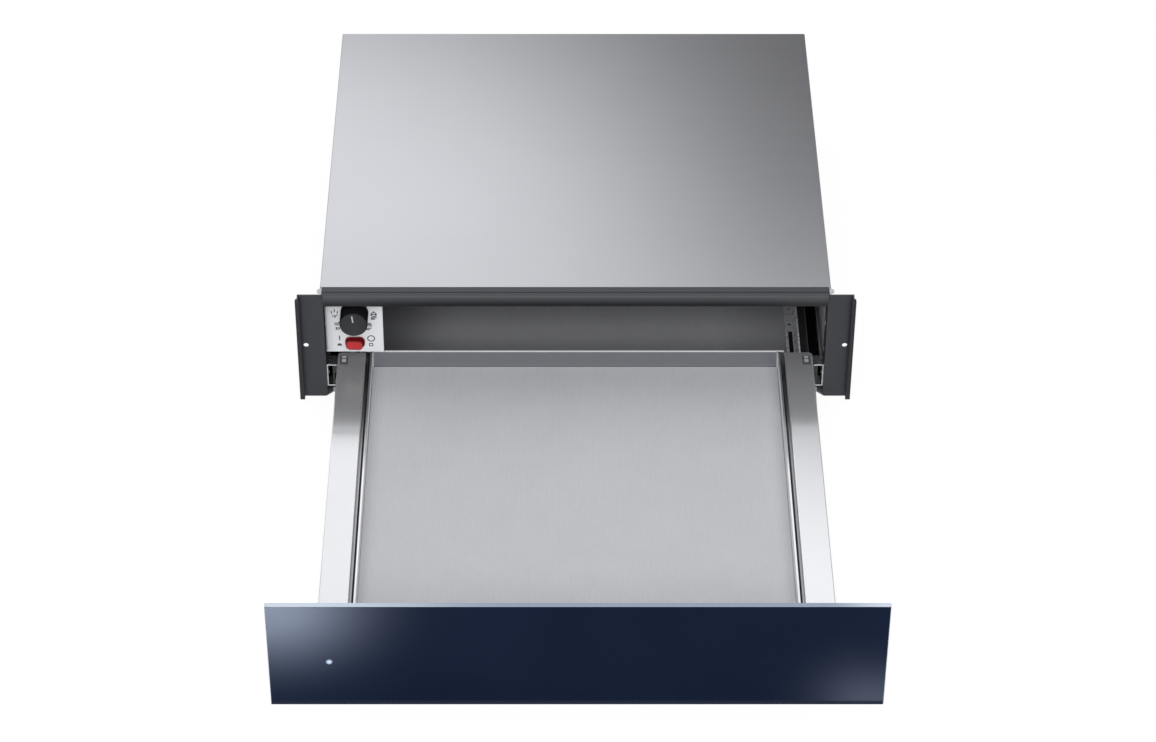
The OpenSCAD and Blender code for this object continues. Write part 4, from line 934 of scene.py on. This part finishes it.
def number_mesh(words, x, z):
    """Plain figures as a thin solid, centred on an (x, z) place."""
    curve = bpy.data.curves.new("figures", "FONT")
    curve.body = words
    curve.size = FIGURE_HEIGHT / FIGURE_SHARE
    curve.extrude = INK_THICKNESS / 2
    curve.offset = FIGURE_BOLD
    curve.align_x = "CENTER"
    curve.align_y = "CENTER"
    holder = bpy.data.objects.new("figures", curve)
    mesh = bpy.data.meshes.new_from_object(holder)
    bpy.data.objects.remove(holder)
    mesh.transform(Matrix.Translation((x, 0, z)) @ Matrix.Rotation(math.pi / 2, 4, "X"))
    return mesh


# Middle of each symbol on the fascia, as (x, z)
STEAM_PLACE = (-257.4 * MM, 100.6 * MM)
DOME_PLACE = (-215.5 * MM, 99.0 * MM)
BOWLS_PLACE = (-254.8 * MM, 86.0 * MM)
STACK_PLACE = (-221.8 * MM, 84.5 * MM)
ON_PLACE = (-253.2 * MM, 68.0 * MM)
OFF_PLACE = (-219.3 * MM, 67.4 * MM)
LIT_PLACE = (-253.5 * MM, 58.4 * MM)
UNLIT_PLACE = (-219.6 * MM, 59.0 * MM)
OFF_RADIUS = 3.7 * MM
ON_HALF = 2.6 * MM
# Figures beside the knob: the figure, the symbol it belongs to and how far under it it stands
FIGURES = (
    ("60\u00b0", STEAM_PLACE, 3.2 * MM),
    ("80\u00b0", DOME_PLACE, 4.6 * MM),
    ("30", BOWLS_PLACE, 5.2 * MM),
    ("40\u00b0", STACK_PLACE, 4.4 * MM),
)
FIGURE_HEIGHT = 3.3 * MM
FIGURE_BOLD = 0.16 * MM
# Height of a figure as a share of its type size
FIGURE_SHARE = 0.7


def print_fascia_symbols():
    """The dark symbols beside the knob and the rocker, as one thin layer on the fascia."""
    bm = bmesh.new()
    draw_steam(bm, *STEAM_PLACE)
    draw_dome(bm, *DOME_PLACE)
    draw_bowls(bm, *BOWLS_PLACE)
    draw_stack(bm, *STACK_PLACE)
    ink_bar(bm, (ON_PLACE[0], ON_PLACE[1] - ON_HALF), (ON_PLACE[0], ON_PLACE[1] + ON_HALF))
    ink_ring(bm, OFF_PLACE, OFF_RADIUS)
    draw_lamp(bm, *LIT_PLACE)
    draw_empty_square(bm, *UNLIT_PLACE)
    for words, (x, z), drop in FIGURES:
        bm.from_mesh(number_mesh(words, x, z - drop))
    middle_y = FASCIA_FRONT + INK_SINK - INK_THICKNESS / 2
    bmesh.ops.translate(bm, verts=bm.verts, vec=(0, middle_y, 0))
    ink = moulded(
        "fascia ink", "1c1b20", roughness=0.5, grain=2000.0, contrast=0.08, bump=0.05,
        Specular_IOR_Level=0.3,
    )
    make_piece("fascia_symbols", to_mesh(bm, "fascia_symbols"), "casing", "fascia_paint", ink)


print_fascia_symbols()


# ---------------------------------------------------------------- studio

WHITE = (1.0, 1.0, 1.0, 1.0)
FLOOR_SIZE = 14.0
FLOOR_LIFT = -0.3 * MM
# Where the paper shows as a background, this share of it is a light of this strength
PAPER_SHARE = 0.88
PAPER_STRENGTH = 1.05


def add_sheet(name, low, high, lift):
    """A level sheet of the studio between two (x, y) corners."""
    bm = bmesh.new()
    bmesh.ops.create_grid(bm, x_segments=1, y_segments=1, size=0.5)
    bmesh.ops.scale(bm, verts=bm.verts, vec=(high[0] - low[0], high[1] - low[1], 1))
    middle = ((low[0] + high[0]) / 2, (low[1] + high[1]) / 2, lift)
    bmesh.ops.translate(bm, verts=bm.verts, vec=middle)
    sheet = bpy.data.objects.new(name, to_mesh(bm, name))
    scene.collection.objects.link(sheet)
    return sheet


def bare_material(sheet, name):
    """Gives a sheet a material without any nodes, and returns its tree."""
    material = bpy.data.materials.new(name)
    material.use_nodes = True
    material.node_tree.nodes.clear()
    sheet.data.materials.append(material)
    return material.node_tree


def shows_background(tree):
    """1 for rays that show the background itself: from the camera, off metal and through glass."""
    rays = add(tree, "LightPath").outputs
    return largest(tree, rays["Is Camera Ray"], rays["Is Glossy Ray"], rays["Is Transmission Ray"])


def make_floor():
    """White paper under the object."""
    half = FLOOR_SIZE / 2
    floor = add_sheet("floor", (-half, -half), (half, half), FLOOR_LIFT)
    material, tree, shader = start_material("floor paper", Roughness=0.9, Specular_IOR_Level=0.1)
    shader.inputs["Base Color"].default_value = (*tone("e8e8e8"), 1.0)
    glow = add(tree, "Emission", {"Color": WHITE, "Strength": PAPER_STRENGTH}).outputs[0]
    share = times(tree, shows_background(tree), PAPER_SHARE)
    both = add(tree, "MixShader", {0: share, 1: shader.outputs[0], 2: glow})
    tree.links.new(both.outputs[0], tree.nodes["Material Output"].inputs["Surface"])
    floor.data.materials.append(material)


# Two soft pools of light on the paper in front of the glass, as (x, y), spread and strength
GLOWS = (
    ((-0.305, -0.622), (0.052, 0.046), 29.0),
    ((0.287, -0.482), (0.034, 0.034), 6.4),
)
GLOW_COLOUR = (0.86, 0.97, 1.17, 1.0)
GLOW_LIFT = 1.0 * MM
GLOW_NEAR, GLOW_FAR = -0.486, -0.80
GLOW_HALF_WIDTH = 0.45


def make_glow_card():
    """A card in front of the glass that only its reflections show."""
    low, high = (-GLOW_HALF_WIDTH, GLOW_FAR), (GLOW_HALF_WIDTH, GLOW_NEAR)
    card = add_sheet("glow_card", low, high, GLOW_LIFT)
    tree = bare_material(card, "soft pools of light")
    place = place_on_piece(tree)
    level = 0.0
    for (x, y), (wide, deep), strength in GLOWS:
        offset = vector_step(tree, "SUBTRACT", place, (x, y, GLOW_LIFT))
        scaled = vector_step(tree, "MULTIPLY", offset, (1 / wide, 1 / deep, 0.0))
        inputs = {0: scaled, 1: scaled}
        squared = add(tree, "VectorMath", inputs, operation="DOT_PRODUCT").outputs["Value"]
        bell = step(tree, "EXPONENT", times(tree, squared, -0.5))
        level = step(tree, "ADD", level, times(tree, bell, strength))
    glow = add(tree, "Emission", {"Color": GLOW_COLOUR, "Strength": level})
    tree.links.new(glow.outputs[0], add(tree, "OutputMaterial").inputs["Surface"])
    card.visible_camera = False
    card.visible_diffuse = False
    card.visible_shadow = False
    card.visible_transmission = False


# Soft white cards over the object, each from its lowest to its highest (x, y) corner
CARD_LIFT = 1.2
DRAWER_CARD = ((-1.1, -0.4), (1.1, 1.21))
CASING_CARD = ((-2.0, 1.31), (0.75, 2.7))
# The card over the drawer has one strength this far to the left and another this far to the right
DRAWER_CARD_HALF = 0.5
DRAWER_CARD_STRENGTH = (0.94, 1.1)
# The card over the casing fades with the distance from a place
FADE_PLACE = (-0.70, 1.30)
FADE_FROM, FADE_TO = 0.62, 1.18
CASING_CARD_STRENGTH = (1.61, 0.1)


def make_card(name, low, high):
    """A card over the object that the camera can't see. Returns the tree of its material."""
    card = add_sheet(name, low, high, CARD_LIFT)
    tree = bare_material(card, name)
    card.visible_camera = False
    card.visible_shadow = False
    return tree


def shine(tree, strength):
    """Ends a card's material with white light of a strength, downwards only."""
    below = add(tree, "NewGeometry").outputs["Backfacing"]
    glow = add(tree, "Emission", {"Color": WHITE, "Strength": times(tree, below, strength)})
    tree.links.new(glow.outputs[0], add(tree, "OutputMaterial").inputs["Surface"])


def make_overhead_cards():
    """The cards that the steel tops and the tray mirror."""
    tree = make_card("card_over_drawer", *DRAWER_CARD)
    across = coordinates(tree)[0]
    shine(tree, ramp(tree, across, -DRAWER_CARD_HALF, DRAWER_CARD_HALF, *DRAWER_CARD_STRENGTH))
    tree = make_card("card_over_casing", *CASING_CARD)
    away = distance(tree, place_on_piece(tree), (*FADE_PLACE, CARD_LIFT))
    shine(tree, ramp(tree, away, FADE_FROM, FADE_TO, *CASING_CARD_STRENGTH))


PANEL_PLACE = (0.0, -2.4, 2.3)
PANEL_AIM = (0.0, 0.0, 0.1)
PANEL_SIZE = (3.2, 1.6)
# As bright as a white of this strength
PANEL_RADIANCE = 3.4


def hang_panel_light():
    """A soft rectangular lamp in front of the object that the camera can't see."""
    data = bpy.data.lights.new("panel in front", "AREA")
    data.shape = "RECTANGLE"
    data.size, data.size_y = PANEL_SIZE
    data.energy = PANEL_RADIANCE * math.pi * PANEL_SIZE[0] * PANEL_SIZE[1]
    lamp = bpy.data.objects.new("panel in front", data)
    lamp.location = PANEL_PLACE
    aim = Vector(PANEL_AIM) - Vector(PANEL_PLACE)
    lamp.rotation_euler = aim.to_track_quat("-Z", "Y").to_euler()
    lamp.visible_camera = False
    scene.collection.objects.link(lamp)


# The dome is darkest away from this direction and brightest towards it
BRIGHT_SIDE = (-0.30, -0.85, 0.43)
BRIGHT_REACH = 0.9
DOME_STRENGTH = (0.14, 0.62)
# Below the first of these heights of a direction all is white, above the second all is dome
HORIZON = (0.1, 0.22)


def light_the_world():
    """A grey dome over a white horizon."""
    world = bpy.data.worlds.new("studio")
    scene.world = world
    world.use_nodes = True
    tree = world.node_tree
    tree.nodes.clear()
    direction = add(tree, "TexCoord").outputs["Generated"]
    inputs = {0: direction, 1: BRIGHT_SIDE}
    toward = add(tree, "VectorMath", inputs, operation="DOT_PRODUCT").outputs["Value"]
    dome = ramp(tree, toward, -BRIGHT_REACH, BRIGHT_REACH, *DOME_STRENGTH)
    height = add(tree, "SeparateXYZ", {0: direction}).outputs[2]
    level = ramp(tree, height, *HORIZON, 1.0, dome)
    around = add(tree, "Background", {"Color": WHITE, "Strength": level})
    tree.links.new(around.outputs[0], add(tree, "OutputWorld").inputs["Surface"])


make_floor()
make_glow_card()
make_overhead_cards()
hang_panel_light()
light_the_world()
